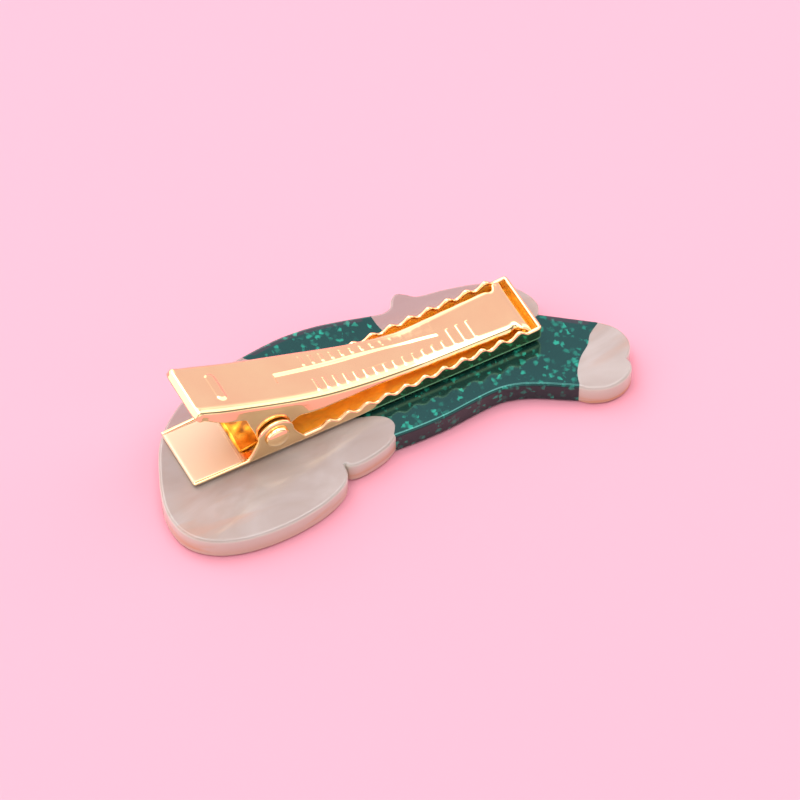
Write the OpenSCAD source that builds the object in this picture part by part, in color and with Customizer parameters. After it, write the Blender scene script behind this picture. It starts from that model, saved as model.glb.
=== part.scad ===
// Alligator hair clip: a sprung, toothed sheet-metal clip glued to the back of an inlaid acetate plate.
// +X runs along the clip towards its nose, +Y across it, +Z up.
// The origin is on the plate's underside, straight below the hinge pin.

/* [Acetate plate] */
// Thickness of the plate
plate_thickness = 3; // [2:0.1:5]
// Radius of the plate's polished edges
edge_radius = 0.4; // [0.2:0.05:0.6]
// Thickness of the glue film under the clip
glue_thickness = 0.2; // [0.1:0.05:0.5]
// How far the glue film stays inside the clip's outline
glue_inset = 0.5; // [0.2:0.1:1.5]

/* [Lower jaw] */
// Length of the lower jaw
jaw_length = 45.4; // [42:0.1:52]
// Outside width of the lower jaw
jaw_width = 8.9; // [8.3:0.1:10.5]
// Thickness of the pressed sheet
sheet = 0.5; // [0.4:0.05:0.6]
// Outside radius of the bend between floor and walls
jaw_bend_radius = 0.8; // [0.7:0.05:1]
// Outside radius of the upright corners at the front
jaw_corner_radius = 0.65; // [0.65:0.05:1]
// Height of the side lips at the rear end
rear_lip_height = 0.6; // [0.6:0.05:1]
// Height of the side lips where they meet the ears
ear_lip_height = 0.85; // [0.75:0.05:1.5]
// Radius of the ears round the pin
ear_radius = 2.3; // [2:0.1:2.8]
// How far the foot of an ear spreads past its round top, on each side
ear_flare = 1.3; // [0.6:0.1:1.6]
// Distance from one tooth to the next
tooth_pitch = 2.5; // [2:0.05:3.5]
// Height of the valleys between the teeth, next to the ears
rear_valley_height = 1.2; // [1:0.05:1.6]
// Height of the valleys between the teeth, at the front
front_valley_height = 2.35; // [1.8:0.05:2.5]
// Height of a tooth above its valley, next to the ears
rear_tooth_height = 0.65; // [0.3:0.05:0.8]
// Height of a tooth above its valley, at the front
front_tooth_height = 0.8; // [0.5:0.05:1]
// Height of the front wall
front_wall_height = 2.5; // [2.2:0.05:2.8]
// Distance of the last valley from the jaw's front end
front_valley_setback = 1.75; // [1.4:0.05:2.5]

/* [Hinge] */
// Distance of the pin from the jaw's rear end
pin_from_rear = 10.6; // [10:0.1:13]
// Height of the pin above the jaw's underside
pin_height = 3.5; // [3.4:0.1:4.2]
// Diameter of the pin
pin_diameter = 1.8; // [1.4:0.1:2]
// Diameter of the rivet heads
rivet_head_diameter = 3; // [2.6:0.1:3.6]
// Height of the rivet heads
rivet_head_height = 0.8; // [0.5:0.05:1.2]
// Height of the straight rim under the dome of a rivet head
rivet_rim_height = 0.35; // [0.2:0.05:0.4]
// Running clearance round the pin, on the radius
pin_clearance = 0.05; // [0.03:0.01:0.1]
// Clearance between the lever's sides and the jaw's walls
side_clearance = 0.35; // [0.1:0.05:0.5]

/* [Lever] */
// Distance of the lever's rear end from the pin
lever_rear = 9.7; // [9:0.1:12]
// Height of the lever's flat front above the jaw's underside
lever_front_height = 2.95; // [2.8:0.05:3.3]
// Rise of the lever from its flat front to its rear end
lever_rise = 9.95; // [8:0.05:12]
// Distance from the pin to the start of the lever's flat front
lever_flat_start = 20; // [18:0.5:22]
// How strongly the lever's curve is bowed
lever_bow = 1.45; // [1.3:0.05:1.6]
// Width of the lever at its waist, where the flat front starts
lever_waist_width = 5.5; // [5:0.1:6.2]
// Width of the lever just behind its nose
lever_neck_width = 6.1; // [5.5:0.1:6.5]
// Outside radius of the lever's folded edges
lever_fold_radius = 0.7; // [0.6:0.05:0.9]
// Depth of the rolled edges along the flat front
front_edge_depth = 0.85; // [0.75:0.05:1]
// Depth of the side flanges just in front of the pin
flange_front_depth = 3.2; // [2.5:0.1:3.6]
// Depth of the side flanges just behind the pin
flange_rear_depth = 2.3; // [1.8:0.1:2.6]
// How quickly the front flanges fall away to the rolled edges
flange_taper = 2.2; // [1.6:0.1:3]
// Distance in front of the pin where the front flanges start
flange_front_start = 3.3; // [3:0.1:5]
// Distance behind the pin where the rear flanges start
flange_rear_start = 3.5; // [3:0.1:5]
// Depth of the folded rear edge
rear_edge_depth = 1.2; // [1:0.05:1.5]
// Radius of the lever's own ears round the pin
lever_ear_radius = 2.2; // [1.6:0.1:2.4]
// Length of the cross-shaped nose
nose_length = 1.1; // [0.9:0.1:1.6]
// Gap between the nose and the jaw's front wall
nose_gap = 0.85; // [0.3:0.05:1.2]
// Gap between the nose's ends and the jaw's side walls
nose_side_gap = 0.2; // [0.1:0.05:0.5]
// Gap between the nose's lip and the jaw's floor
nose_rest_gap = 0.03; // [0.01:0.01:0.1]

/* [Embossing] */
// Radius of the pressed cross ribs
rib_radius = 0.33; // [0.25:0.01:0.4]
// Height of the pressed ribs above the sheet
rib_height = 0.17; // [0.1:0.01:0.2]
// Distance from one cross rib to the next
rib_pitch = 1.3; // [1.1:0.05:1.8]
// Number of cross ribs along the lever
rib_count = 17; // [8:1:17]
// Number of cross ribs at the front that run over the middle
long_rib_count = 3; // [0:1:4]
// How far the long cross ribs run past the middle
long_rib_overrun = 0.2; // [0:0.05:0.6]
// Distance from the pin to the first cross rib
rib_start = 6.4; // [5:0.1:7]
// Distance from the middle to the short cross ribs, where the channel leaves room
rib_inner = 0.9; // [0.5:0.05:1.2]
// Gap between the channel and the short cross ribs beside it
rib_gap = 0.1; // [0.05:0.05:0.3]
// Width of the pressed channel along the middle, where it is widest
channel_width = 2.2; // [1.4:0.1:2.4]
// Width of the channel at its rear end
channel_rear_width = 1.2; // [0.8:0.1:1.4]
// Depth of the channel
channel_depth = 0.2; // [0.1:0.02:0.25]
// Distance from the pin to the start of the channel
channel_start = 2; // [1:0.1:3]
// Length of the channel
channel_length = 21.5; // [15:0.1:22]
// Length of the oval boss near the lever's rear end
boss_length = 4.2; // [3:0.1:4.6]
// Width of the oval boss
boss_width = 1.4; // [1:0.1:1.8]
// Radius of the crown of the oval boss
boss_crown_radius = 1.2; // [1:0.05:2]
// Distance of the oval boss behind the pin
boss_from_pin = 5.5; // [4.5:0.1:6.5]

/* [Spring] */
// Width of the spring strip
spring_width = 5.4; // [4:0.1:5.6]
// Thickness of the spring strip
spring_thickness = 0.35; // [0.25:0.05:0.45]
// Gap between the spring's curl and the pin
spring_curl_gap = 0.3; // [0.2:0.05:0.4]
// Distance from the pin to the end of the leg on the floor
spring_lower_reach = 4; // [3.5:0.1:6]
// Distance from the pin to the end of the leg under the lever
spring_upper_reach = 6; // [5:0.1:7]
// Gap between the spring's legs and the sheet they press on
spring_seat_gap = 0.05; // [0.02:0.01:0.1]

/* [Hidden] */
$fn = 48;

// How far cuts run past what they cut, and how far joined outlines run into each other
over = 1;
lap = 0.01;

gold = [0.95, 0.76, 0.55];
grey_acetate = [0.80, 0.72, 0.70];
green_acetate = [0.10, 0.35, 0.31];
glue_colour = [0.93, 0.91, 0.85];

// Heights of the clip on the plate
jaw_z = plate_thickness + glue_thickness;
floor_z = jaw_z + sheet;
pin_z = jaw_z + pin_height;
lever_front_z = jaw_z + lever_front_height;

// Ends of the jaw, measured from the pin
jaw_rear_x = -pin_from_rear;
jaw_front_x = jaw_length - pin_from_rear;

// Widths that fit inside one another
jaw_inside_width = jaw_width - 2 * sheet;
lever_width = jaw_inside_width - 2 * side_clearance;
nose_width = jaw_inside_width - 2 * nose_side_gap;

// Where the toothed walls start, and how the teeth are counted off from the last valley at the front
teeth_start_x = ear_radius + ear_flare;
teeth_end_x = jaw_front_x - front_valley_setback;
teeth_length = teeth_end_x - teeth_start_x;
tooth_count = floor(teeth_length / tooth_pitch);
tooth_steps = 8;

// The nose stands just inside the front wall
nose_front_x = jaw_front_x - sheet - nose_gap;
nose_rear_x = nose_front_x - nose_length;

function mix(a, b, t) = a + (b - a) * t;
function clamp01(t) = min(max(t, 0), 1);
function ease(t) = let (s = clamp01(t)) s * s * (3 - 2 * s);

// A smooth open Catmull-Rom curve through a few points, without its last point
function spline_point(p0, p1, p2, p3, t) =
    0.5 * (2 * p1 + (p2 - p0) * t + (2 * p0 - 5 * p1 + 4 * p2 - p3) * t * t
           + (3 * p1 - p0 - 3 * p2 + p3) * t * t * t);
function spline(points, steps) =
    let (last = len(points) - 1)
    [for (i = [0 : last - 1], k = [0 : steps - 1])
        spline_point(points[max(i - 1, 0)], points[i], points[i + 1], points[min(i + 2, last)], k / steps)];
function reversed(points) = [for (i = [len(points) - 1 : -1 : 0]) points[i]];

// Triangles that fill a flat counter-clockwise ring, found by cutting off one ear after another
function turn(a, b, c) = (b[0] - a[0]) * (c[1] - a[1]) - (b[1] - a[1]) * (c[0] - a[0]);
function is_inside(p, a, b, c) = turn(a, b, p) >= 0 && turn(b, c, p) >= 0 && turn(c, a, p) >= 0;
function corner(ids, k) = let (n = len(ids)) [ids[(k + n - 1) % n], ids[k], ids[(k + 1) % n]];
function is_ear(ring, ids, c) =
    let (p = ring[c[0]], q = ring[c[1]], r = ring[c[2]],
         others = [for (m = ids) if (m != c[0] && m != c[1] && m != c[2]) ring[m]])
    turn(p, q, r) > 0 && len([for (other = others) if (is_inside(other, p, q, r)) other]) == 0;
function next_ear(ring, ids, k = 0) =
    k == len(ids) - 1 || is_ear(ring, ids, corner(ids, k)) ? k : next_ear(ring, ids, k + 1);
function fill(ring, ids, done = []) =
    len(ids) == 3 ? concat(done, [ids]) :
    let (k = next_ear(ring, ids))
    fill(ring, [for (m = [0 : len(ids) - 1]) if (m != k) ids[m]], concat(done, [corner(ids, k)]));

// A closed skin over rings of points that all have the same length
module skin(rings, caps) {
    ring_count = len(rings);
    n = len(rings[0]);
    points = [for (ring = rings, p = ring) p];
    sides = [for (r = [0 : ring_count - 2], i = [0 : n - 1])
        let (a = r * n + i, b = r * n + (i + 1) % n)
        each [[a, b, b + n], [a, b + n, a + n]]];
    first = [for (face = caps) reversed(face)];
    last = [for (face = caps) [for (i = face) (ring_count - 1) * n + i]];
    polyhedron(points, concat(sides, first, last), convexity = 10);
}
function whole_ring(ring) = [[for (i = [0 : len(ring) - 1]) i]];

// Stand a drawing of the X and Z sides upright, centred on Y
module across(width) {
    rotate([90, 0, 0]) linear_extrude(height = width, center = true, convexity = 10) children();
}

// Outer edges of the plate, counter-clockwise from the notch between the bulb and the tab
notch = [6.2, -9.2];
tab_edge = [notch, [6.6, -9.75], [7.6, -10.05], [9.4, -9.95], [11.4, -9.5], [12.5, -9], [13.2, -8.55]];
near_edge = [[13.2, -8.55], [16.5, -8.75], [20, -8.75], [23.5, -8.45], [26.5, -8.3], [28.7, -8.65],
             [31.3, -9.8], [35.3, -12.3]];
end_edge = [[35.3, -12.3], [36.4, -13.3], [38.4, -14.05], [40.4, -13.9], [41.9, -13], [42.45, -11.9],
            [42.4, -11.15], [43.2, -10.4], [43.85, -9.1], [43.8, -7.6], [43.2, -6.2], [42, -4.9]];
end_far_edge = [[42, -4.9], [36.4, -0.6]];
upper_edge = [[36.4, -0.6], [37.1, 0.6], [36.9, 2.4], [35.6, 4.6], [33.6, 6.2], [31.2, 7.2], [28, 8],
              [25.2, 8.5], [24.1, 9.4], [23.1, 10], [22.2, 9.5], [21.5, 8.5], [20.4, 8.2], [19, 8.5]];
far_edge = [[19, 8.5], [15.2, 9.6], [11.5, 10.4], [7.5, 10.65], [2.9, 10.25]];
bulb_edge = [[2.9, 10.25], [-1.5, 9.7], [-6.3, 7.7], [-10.6, 4.3], [-13.2, -0.3], [-14.8, -5],
             [-14.6, -8.8], [-12.6, -11.5], [-9, -13.2], [-4, -13.8], [1, -13.3], [4.4, -12.1],
             [5.8, -10.8], notch];

// Seams between the inlaid pieces
bulb_seam = [notch, [6.4, -6.2], [6.4, -2.5], [5.8, 3], [4.6, 7.2], [2.9, 10.25]];
tab_seam = [[13.2, -8.55], [13.9, -7], [13.6, -5.7], [12.2, -4.7], [9.6, -3.8], [6.4, -2.5]];
end_seam = [[42, -4.9], [40.2, -6.2], [39.2, -7.4], [37.6, -8.6], [36.4, -10], [35.7, -11.3], [35.3, -12.3]];
upper_seam = [[19, 8.5], [19.2, 5.5], [21.5, 1.8], [26.5, -0.8], [32, -1.4], [36.4, -0.6]];
curve_steps = 4;

// The plate's outline as one closed ring, and where each edge starts in it
edge_names = ["tab", "near", "end", "end far", "upper", "far", "bulb"];
edges = [tab_edge, near_edge, end_edge, end_far_edge, upper_edge, far_edge, bulb_edge];
plate_outline = [for (edge = edges) each spline(edge, curve_steps)];
function edge_start(k) = k == 0 ? 0 : edge_start(k - 1) + curve_steps * (len(edges[k - 1]) - 1);

// The outline drawn in by a margin, point by point along its own normals
function drawn_in(points, margin) =
    let (n = len(points))
    [for (i = [0 : n - 1])
        let (along = points[(i + 1) % n] - points[(i + n - 1) % n])
        points[i] + margin * [-along[1], along[0]] / norm(along)];

// One named edge of a drawn-in outline, from its first point to its last
function edge_of(outline, name) =
    let (k = search([name], edge_names)[0])
    [for (i = [edge_start(k) : edge_start(k + 1)]) outline[i % len(outline)]];

// The points of a seam between two of its own points, without the ends
function seam_of(seam, from, to) =
    let (points = spline(seam, curve_steps))
    [for (i = [from * curve_steps + 1 : to * curve_steps - 1]) points[i]];

// Rounded edges from the top face down to the underside, as pairs of margin and height
edge_angles = [0, 30, 60, 90];
edge_levels = concat(
    [for (a = edge_angles) [edge_radius * (1 - sin(a)), plate_thickness - edge_radius * (1 - cos(a))]],
    [for (a = reversed(edge_angles)) [edge_radius * (1 - sin(a)), edge_radius * (1 - cos(a))]]);
function at_height(points, z) = [for (p = points) [p[0], p[1], z]];

// Rings of the inlays: outer edges are rounded over, seams stand upright
bulb_ring = function (outline) concat(edge_of(outline, "bulb"), seam_of(bulb_seam, 0, 5));
tab_ring = function (outline) concat(
    edge_of(outline, "tab"), seam_of(tab_seam, 0, 5), [bulb_seam[2]], reversed(seam_of(bulb_seam, 0, 2)));
end_ring = function (outline) concat(edge_of(outline, "end"), seam_of(end_seam, 0, 6));
upper_ring = function (outline) concat(edge_of(outline, "upper"), seam_of(upper_seam, 0, 5));
green_ring = function (outline) concat(
    edge_of(outline, "near"), reversed(seam_of(end_seam, 0, 6)),
    edge_of(outline, "end far"), reversed(seam_of(upper_seam, 0, 5)),
    edge_of(outline, "far"), reversed(seam_of(bulb_seam, 2, 5)),
    [bulb_seam[2]], reversed(seam_of(tab_seam, 0, 5)));

// An inlay through the whole thickness, from the top face down to the underside
module panel(ring_of) {
    rings = [for (e = edge_levels) at_height(ring_of(drawn_in(plate_outline, e[0])), e[1])];
    skin(rings, fill(rings[0], [for (i = [0 : len(rings[0]) - 1]) i]));
}
module grey_bulb_panel() {
    color(grey_acetate) panel(bulb_ring);
}
module grey_tab_panel() {
    color(grey_acetate) panel(tab_ring);
}
module grey_upper_panel() {
    color(grey_acetate) panel(upper_ring);
}
module grey_end_panel() {
    color(grey_acetate) panel(end_ring);
}
module green_body_panel() {
    color(green_acetate) panel(green_ring);
}

// Thin film that holds the jaw's floor on the plate
module glue_film() {
    color(glue_colour) translate([jaw_rear_x + glue_inset, glue_inset - jaw_width / 2, plate_thickness])
        cube([jaw_length - 2 * glue_inset, jaw_width - 2 * glue_inset, glue_thickness]);
}

// A rectangle with two of its corners rounded, those at the low end of its second axis
module two_round_corners(width, height, radius) {
    translate([-width / 2, radius]) square([width, height - radius]);
    translate([radius - width / 2, 0]) square([width - 2 * radius, radius + lap]);
    for (side = [-1, 1]) translate([side * (width / 2 - radius), radius]) circle(radius);
}

// Body of the tray, drawn in by a margin: rounded along its floor's edges and its front corners
module tray_body(margin, rear_x) {
    radius = jaw_bend_radius - margin;
    corner_radius = jaw_corner_radius - margin;
    front_x = jaw_front_x - margin;
    tall = pin_height + ear_radius + over;
    width = jaw_width - 2 * margin;
    intersection() {
        // section across the tray
        translate([rear_x, 0, jaw_z + margin]) rotate([90, 0, 90])
            linear_extrude(height = front_x - rear_x) two_round_corners(width, tall, radius);
        // plan of the tray
        translate([front_x, 0, jaw_z]) rotate([0, 0, 90]) linear_extrude(height = tall)
            two_round_corners(width, front_x - rear_x, corner_radius);
        // side of the tray
        across(jaw_width) translate([rear_x, jaw_z + margin]) {
            square([front_x - rear_x - radius, tall]);
            translate([0, radius]) square([front_x - rear_x, tall]);
            translate([front_x - rear_x - radius, radius]) circle(radius);
        }
    }
}

// Heights along the toothed walls, by the share of the way from the ears to the last valley
function valley_height(t) = mix(rear_valley_height, front_valley_height, t);
function tooth_height(t) = mix(rear_tooth_height, front_tooth_height, t);

// One point of the wall's waved top edge, counted from the first valley
function tooth_edge(i) =
    let (x = teeth_end_x - (tooth_count - i / tooth_steps) * tooth_pitch,
         t = (x - teeth_start_x) / teeth_length,
         rise = (1 - cos(360 * (i / tooth_steps))) / 2)
    [x, valley_height(t) + tooth_height(t) * rise];

// Side view of the jaw's walls, measured up from its underside
module wall_side() {
    lip_end_x = -ear_radius - ear_flare;
    teeth = [for (i = [0 : tooth_count * tooth_steps]) tooth_edge(i)];
    polygon(concat(
        [[jaw_rear_x, 0], [jaw_rear_x, rear_lip_height], [lip_end_x, ear_lip_height],
         [teeth_start_x, rear_valley_height]],
        teeth, [[jaw_front_x, front_wall_height], [jaw_front_x, 0]]));
}

// One side of an ear, spreading from the pin's height down to the wall beside it
ear_steps = 8;
ear_spread = 1.3;
function ear_flank(side, wall_height) =
    [for (i = [0 : ear_steps])
        let (t = i / ear_steps)
        [side * (ear_radius + ear_flare * pow(t, ear_spread)), mix(pin_height, wall_height, t)]];

// Ear seen from the side: a round top on a spreading foot
module ear() {
    foot = ear_radius + ear_flare;
    translate([0, pin_height]) circle(ear_radius);
    polygon(concat([[-foot, 0]], reversed(ear_flank(-1, ear_lip_height)),
                   ear_flank(1, rear_valley_height), [[foot, 0]]));
}

// All that is kept of the bent sheet, seen from the side
module jaw_side() {
    width = 2 * jaw_width;
    translate([0, 0, jaw_z]) {
        across(width) wall_side();
        across(width) ear();
    }
}

module pin_bore(radius) {
    translate([0, 0, pin_z]) rotate([90, 0, 0]) cylinder(r = radius, h = 2 * jaw_width, center = true);
}

// Tray with toothed walls, a closed front and two ears for the pin
module lower_jaw() {
    color(gold) difference() {
        intersection() {
            difference() {
                tray_body(0, jaw_rear_x);
                tray_body(sheet, jaw_rear_x - over);
            }
            jaw_side();
        }
        pin_bore(pin_diameter / 2);
    }
}

// Rivet: a plain pin with a domed head at each end
module hinge_rivet() {
    half_length = jaw_width / 2;
    head_radius = rivet_head_diameter / 2;
    dome = rivet_head_height - rivet_rim_height;
    dome_radius = (head_radius * head_radius + dome * dome) / (2 * dome);
    color(gold) translate([0, 0, pin_z]) rotate([90, 0, 0]) rotate_extrude() {
        translate([0, -half_length]) square([pin_diameter / 2, jaw_width]);
        for (end = [-1, 1]) scale([1, end]) translate([0, half_length]) {
            square([head_radius, rivet_rim_height]);
            intersection() {
                translate([0, rivet_head_height - dome_radius]) circle(dome_radius);
                translate([0, rivet_rim_height]) square([head_radius, dome]);
            }
        }
    }
}

// Height of the lever's top along its length, and its slope in degrees behind the flat front
lever_run = lever_flat_start + lever_rear;
function lever_top(x) = lever_front_z + lever_rise * pow(max(lever_flat_start - x, 0) / lever_run, lever_bow);
function lever_slope(x) =
    -atan(lever_bow * lever_rise / lever_run * pow((lever_flat_start - x) / lever_run, lever_bow - 1));

// Half the lever's width along its length: full behind the pin, waisted, and a little wider at the neck
function lever_half_width(x) =
    let (waist = ease((x - lever_ear_radius) / (lever_flat_start - lever_ear_radius)),
         neck = clamp01((x - lever_flat_start) / (nose_rear_x - lever_flat_start)))
    mix(mix(lever_width, lever_waist_width, waist), lever_neck_width, neck) / 2;

// One section across the lever, solid below a top with rounded edges
fold_step = 22.5;
function lever_section(x, half_width, top, radius, bottom) =
    let (corner = [for (a = [0 : fold_step : 90]) radius * [1 - cos(a), sin(a) - 1]])
    concat([[x, -half_width, bottom]],
           [for (c = corner) [x, -half_width + c[0], top + c[1]]],
           [for (c = reversed(corner)) [x, half_width - c[0], top + c[1]]],
           [[x, half_width, bottom]]);

// Solid under the lever's top, drawn in by a margin, with its rear edge rounded over
module lever_body(margin, front_x) {
    radius = lever_fold_radius - margin;
    rear_x = margin - lever_rear;
    station_count = 44;
    bend = [for (a = [0 : fold_step : 90 - fold_step])
        [rear_x + radius * (1 - cos(a)), radius * (1 - sin(a))]];
    run = [for (i = [0 : station_count]) [mix(rear_x + radius, front_x, i / station_count), 0]];
    rings = [for (s = concat(bend, run))
        lever_section(s[0], lever_half_width(s[0]) - margin - s[1] / 2, lever_top(s[0]) - margin - s[1],
                      radius, floor_z)];
    skin(rings, whole_ring(rings[0]));
}

// Depth of the flange in front of the ears, falling away to the rolled edge of the flat front
function flange_depth(x) =
    let (t = clamp01((lever_flat_start - x) / (lever_flat_start - lever_ear_radius)))
    front_edge_depth + (flange_front_depth - front_edge_depth) * pow(t, flange_taper);

// Side view of the lever: all that is kept of its folded sheet
module lever_side() {
    sky = lever_front_z + 2 * lever_rise;
    step = 1;
    front_edge = [for (x = [flange_front_start : step : nose_front_x]) [x, lever_top(x) - flange_depth(x)]];
    rear_edge = [for (x = [-lever_rear - over : step : -flange_rear_start])
        let (t = clamp01((x + lever_rear) / (lever_rear - flange_rear_start)))
        [x, lever_top(x) - mix(rear_edge_depth, flange_rear_depth, sqrt(t))]];
    polygon(concat([[-lever_rear - over, sky]], rear_edge,
                   [[-lever_ear_radius, pin_z], [lever_ear_radius, pin_z]], front_edge,
                   [[nose_front_x, sky]]));
    translate([0, pin_z]) circle(lever_ear_radius);
}

// Nose: a cross bar whose front edge folds down to rest on the jaw's floor
module lever_nose() {
    top = lever_front_z;
    across(nose_width) difference() {
        union() {
            translate([nose_rear_x, top - sheet]) square([nose_length - lever_fold_radius, sheet]);
            translate([nose_front_x - lever_fold_radius, top - lever_fold_radius]) circle(lever_fold_radius);
            translate([nose_front_x - sheet, floor_z + nose_rest_gap])
                square([sheet, top - lever_fold_radius - floor_z - nose_rest_gap]);
        }
        translate([nose_front_x - 2 * lever_fold_radius, floor_z])
            square([2 * lever_fold_radius - sheet, top - floor_z - sheet]);
    }
}

// A rounded bar along Y, from one place across the lever to another, sunk so that only its crest stands out
module cross_bar(x, from_y, to_y, radius, height) {
    length = to_y - from_y;
    translate([x, from_y, lever_top(x) + height - radius]) rotate([-90, 0, 0]) rotate_extrude() {
        translate([0, radius]) square([radius, length - 2 * radius]);
        for (y = [radius, length - radius])
            intersection() {
                translate([0, y]) circle(radius);
                square([radius, length]);
            }
    }
}

// Half the width of the channel along the lever: widening from its rear end, then closing to a point
channel_taper = 2.2;
channel_tip = 0.1;
function channel_half_width(x) =
    let (s = min(2 * (x - channel_start) / channel_length - 1, 1),
         width = s < 0 ? mix(channel_width, channel_rear_width, -s) : channel_width * (1 - pow(s, channel_taper)))
    max(width, channel_tip) / 2;

// Strip along the channel, between two heights above the lever's top and spread by a margin
module channel_strip(low, high, margin) {
    steps = 24;
    rings = [for (i = [0 : steps])
        let (x = channel_start + channel_length * i / steps, half = channel_half_width(x) + margin,
             top = lever_top(x))
        [[x, -half, top + low], [x, -half, top + high], [x, half, top + high], [x, half, top + low]]];
    skin(rings, whole_ring(rings[0]));
}

// Pressed pattern: a ladder of cross ribs on both sides of the channel, and the channel's own underside
module embossing() {
    channel_strip(-sheet - channel_depth, -sheet / 2, sheet / 2);
    for (k = [0 : rib_count - 1]) {
        x = rib_start + k * rib_pitch;
        edge = lever_half_width(x) - lever_fold_radius;
        inner = max(channel_half_width(x) + rib_gap, rib_inner);
        is_long = k >= rib_count - long_rib_count;
        cross_bar(x, -edge, is_long ? long_rib_overrun : -inner, rib_radius, rib_height);
        if (!is_long) cross_bar(x, inner, edge, rib_radius, rib_height);
    }
    // oval boss, flush below with the underside of the sheet
    translate([-boss_from_pin, 0, lever_top(-boss_from_pin)]) rotate([0, -lever_slope(-boss_from_pin), 0])
        intersection() {
            translate([0, 0, rib_height - boss_crown_radius]) rotate([90, 0, 0])
                cylinder(r = boss_crown_radius, h = boss_length, center = true);
            translate([0, 0, -sheet / 2]) oval_post(boss_length, boss_width, boss_width);
        }
}

// Upright post with an oval plan, long across the lever
module oval_post(length, width, height) {
    linear_extrude(height = height) {
        square([width, length - width], center = true);
        for (side = [-1, 1]) translate([0, side * (length - width) / 2]) circle(d = width);
    }
}

// Bowed lever: a folded channel with ears for the pin, a cross-shaped nose and a pressed pattern
module lever() {
    color(gold) difference() {
        union() {
            intersection() {
                difference() {
                    lever_body(0, nose_rear_x + nose_length / 2);
                    lever_body(sheet, nose_front_x + over);
                }
                across(2 * jaw_width) lever_side();
            }
            lever_nose();
            embossing();
        }
        pin_bore(pin_diameter / 2 + pin_clearance);
        channel_strip(-channel_depth, over, 0);
    }
}

// Spring strip: curled round the pin, one leg on the jaw's floor and the other under the lever
module leaf_spring() {
    inner = pin_diameter / 2 + spring_curl_gap;
    outer = inner + spring_thickness;
    lower_end = [-spring_lower_reach, floor_z + spring_seat_gap];
    upper_end = [-spring_upper_reach, lever_top(-spring_upper_reach) - 2 * sheet - spring_seat_gap];
    middle = (inner + outer) / 2;
    lower_angle = leg_angle(lower_end + [0, spring_thickness / 2] - [0, pin_z], middle, -1);
    upper_angle = leg_angle(upper_end - [0, pin_z], middle, 1);
    color(gold) across(spring_width) translate([0, pin_z]) {
        curl(inner, outer, lower_angle, upper_angle);
        leg(lower_end + [0, spring_thickness / 2] - [0, pin_z], middle, lower_angle);
        leg(upper_end - [0, pin_z], middle, upper_angle);
    }
}

// Angle on the curl where a straight leg to this end leaves it
function leg_angle(end, radius, side) = atan2(end[1], end[0]) - side * acos(radius / norm(end));

// Part of a ring between two angles that pass through the front of the pin
module curl(inner, outer, from_angle, to_angle) {
    steps = 16;
    from = from_angle > to_angle ? from_angle - 360 : from_angle;
    reach = 2 * outer;
    arc = [for (i = [0 : steps]) let (a = mix(from, to_angle, i / steps)) reach * [cos(a), sin(a)]];
    intersection() {
        difference() {
            circle(outer);
            circle(inner);
        }
        polygon(concat([[0, 0]], arc));
    }
}

// Straight strip from the curl to its end
module leg(end, radius, angle) {
    overlap = spring_thickness / 4;
    start = radius * [cos(angle), sin(angle)];
    along = end - start;
    translate(start) rotate(atan2(along[1], along[0]))
        translate([-overlap, -spring_thickness / 2]) square([norm(along) + overlap, spring_thickness]);
}

lower_jaw();
lever();
hinge_rivet();
leaf_spring();
glue_film();
grey_bulb_panel();
grey_tab_panel();
green_body_panel();
grey_upper_panel();
grey_end_panel();
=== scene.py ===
"""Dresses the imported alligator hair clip: a gold sheet-metal clip glued to an inlaid acetate plate.

Every piece is a surface worked out with numpy from the sizes below, in metres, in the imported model's frame.
+X runs along the clip towards its nose, +Y across it and +Z up. The near side of a piece is its -Y side,
which the camera faces, and the far side is its +Y side.
"""
import math

import bmesh
import bpy
import numpy as np
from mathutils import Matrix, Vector


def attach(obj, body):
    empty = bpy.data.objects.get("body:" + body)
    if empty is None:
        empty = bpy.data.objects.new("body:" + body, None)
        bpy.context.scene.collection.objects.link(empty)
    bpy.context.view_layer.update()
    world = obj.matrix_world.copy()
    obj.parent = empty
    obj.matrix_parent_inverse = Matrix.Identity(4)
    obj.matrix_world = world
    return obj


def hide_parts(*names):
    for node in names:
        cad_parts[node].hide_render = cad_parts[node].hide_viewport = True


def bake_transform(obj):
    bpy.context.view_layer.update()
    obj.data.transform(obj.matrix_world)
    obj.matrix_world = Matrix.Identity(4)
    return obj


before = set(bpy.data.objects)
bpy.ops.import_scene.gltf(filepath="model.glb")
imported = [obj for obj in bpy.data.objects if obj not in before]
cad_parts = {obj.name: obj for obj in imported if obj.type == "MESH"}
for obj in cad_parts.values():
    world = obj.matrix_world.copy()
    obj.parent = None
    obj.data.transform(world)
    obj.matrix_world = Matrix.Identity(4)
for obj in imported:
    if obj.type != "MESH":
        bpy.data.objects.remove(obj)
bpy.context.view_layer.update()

bl_info = {
    "name": "Alligator hair clip",
    "version": (1, 0, 0),
    "blender": (4, 5, 0),
    "location": "View3D > Sidebar > Hair clip",
    "description": "Builds a gold alligator hair clip on an inlaid acetate plate",
    "category": "Add Mesh",
}

MM = 0.001
CM = 0.01
BASE = "base"
LEVER_ARM = "lever_arm"


def length(name, text, millimetres):
    """A length that a user may change, given in millimetres and kept in metres."""
    return bpy.props.FloatProperty(
        name=name, description=text, default=millimetres * MM, min=0, precision=5, unit="LENGTH")


def colour(name, text, rgb):
    """A linear colour that a user may change."""
    return bpy.props.FloatVectorProperty(
        name=name, description=text, default=rgb, size=3, min=0, max=1, subtype="COLOR")


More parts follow.
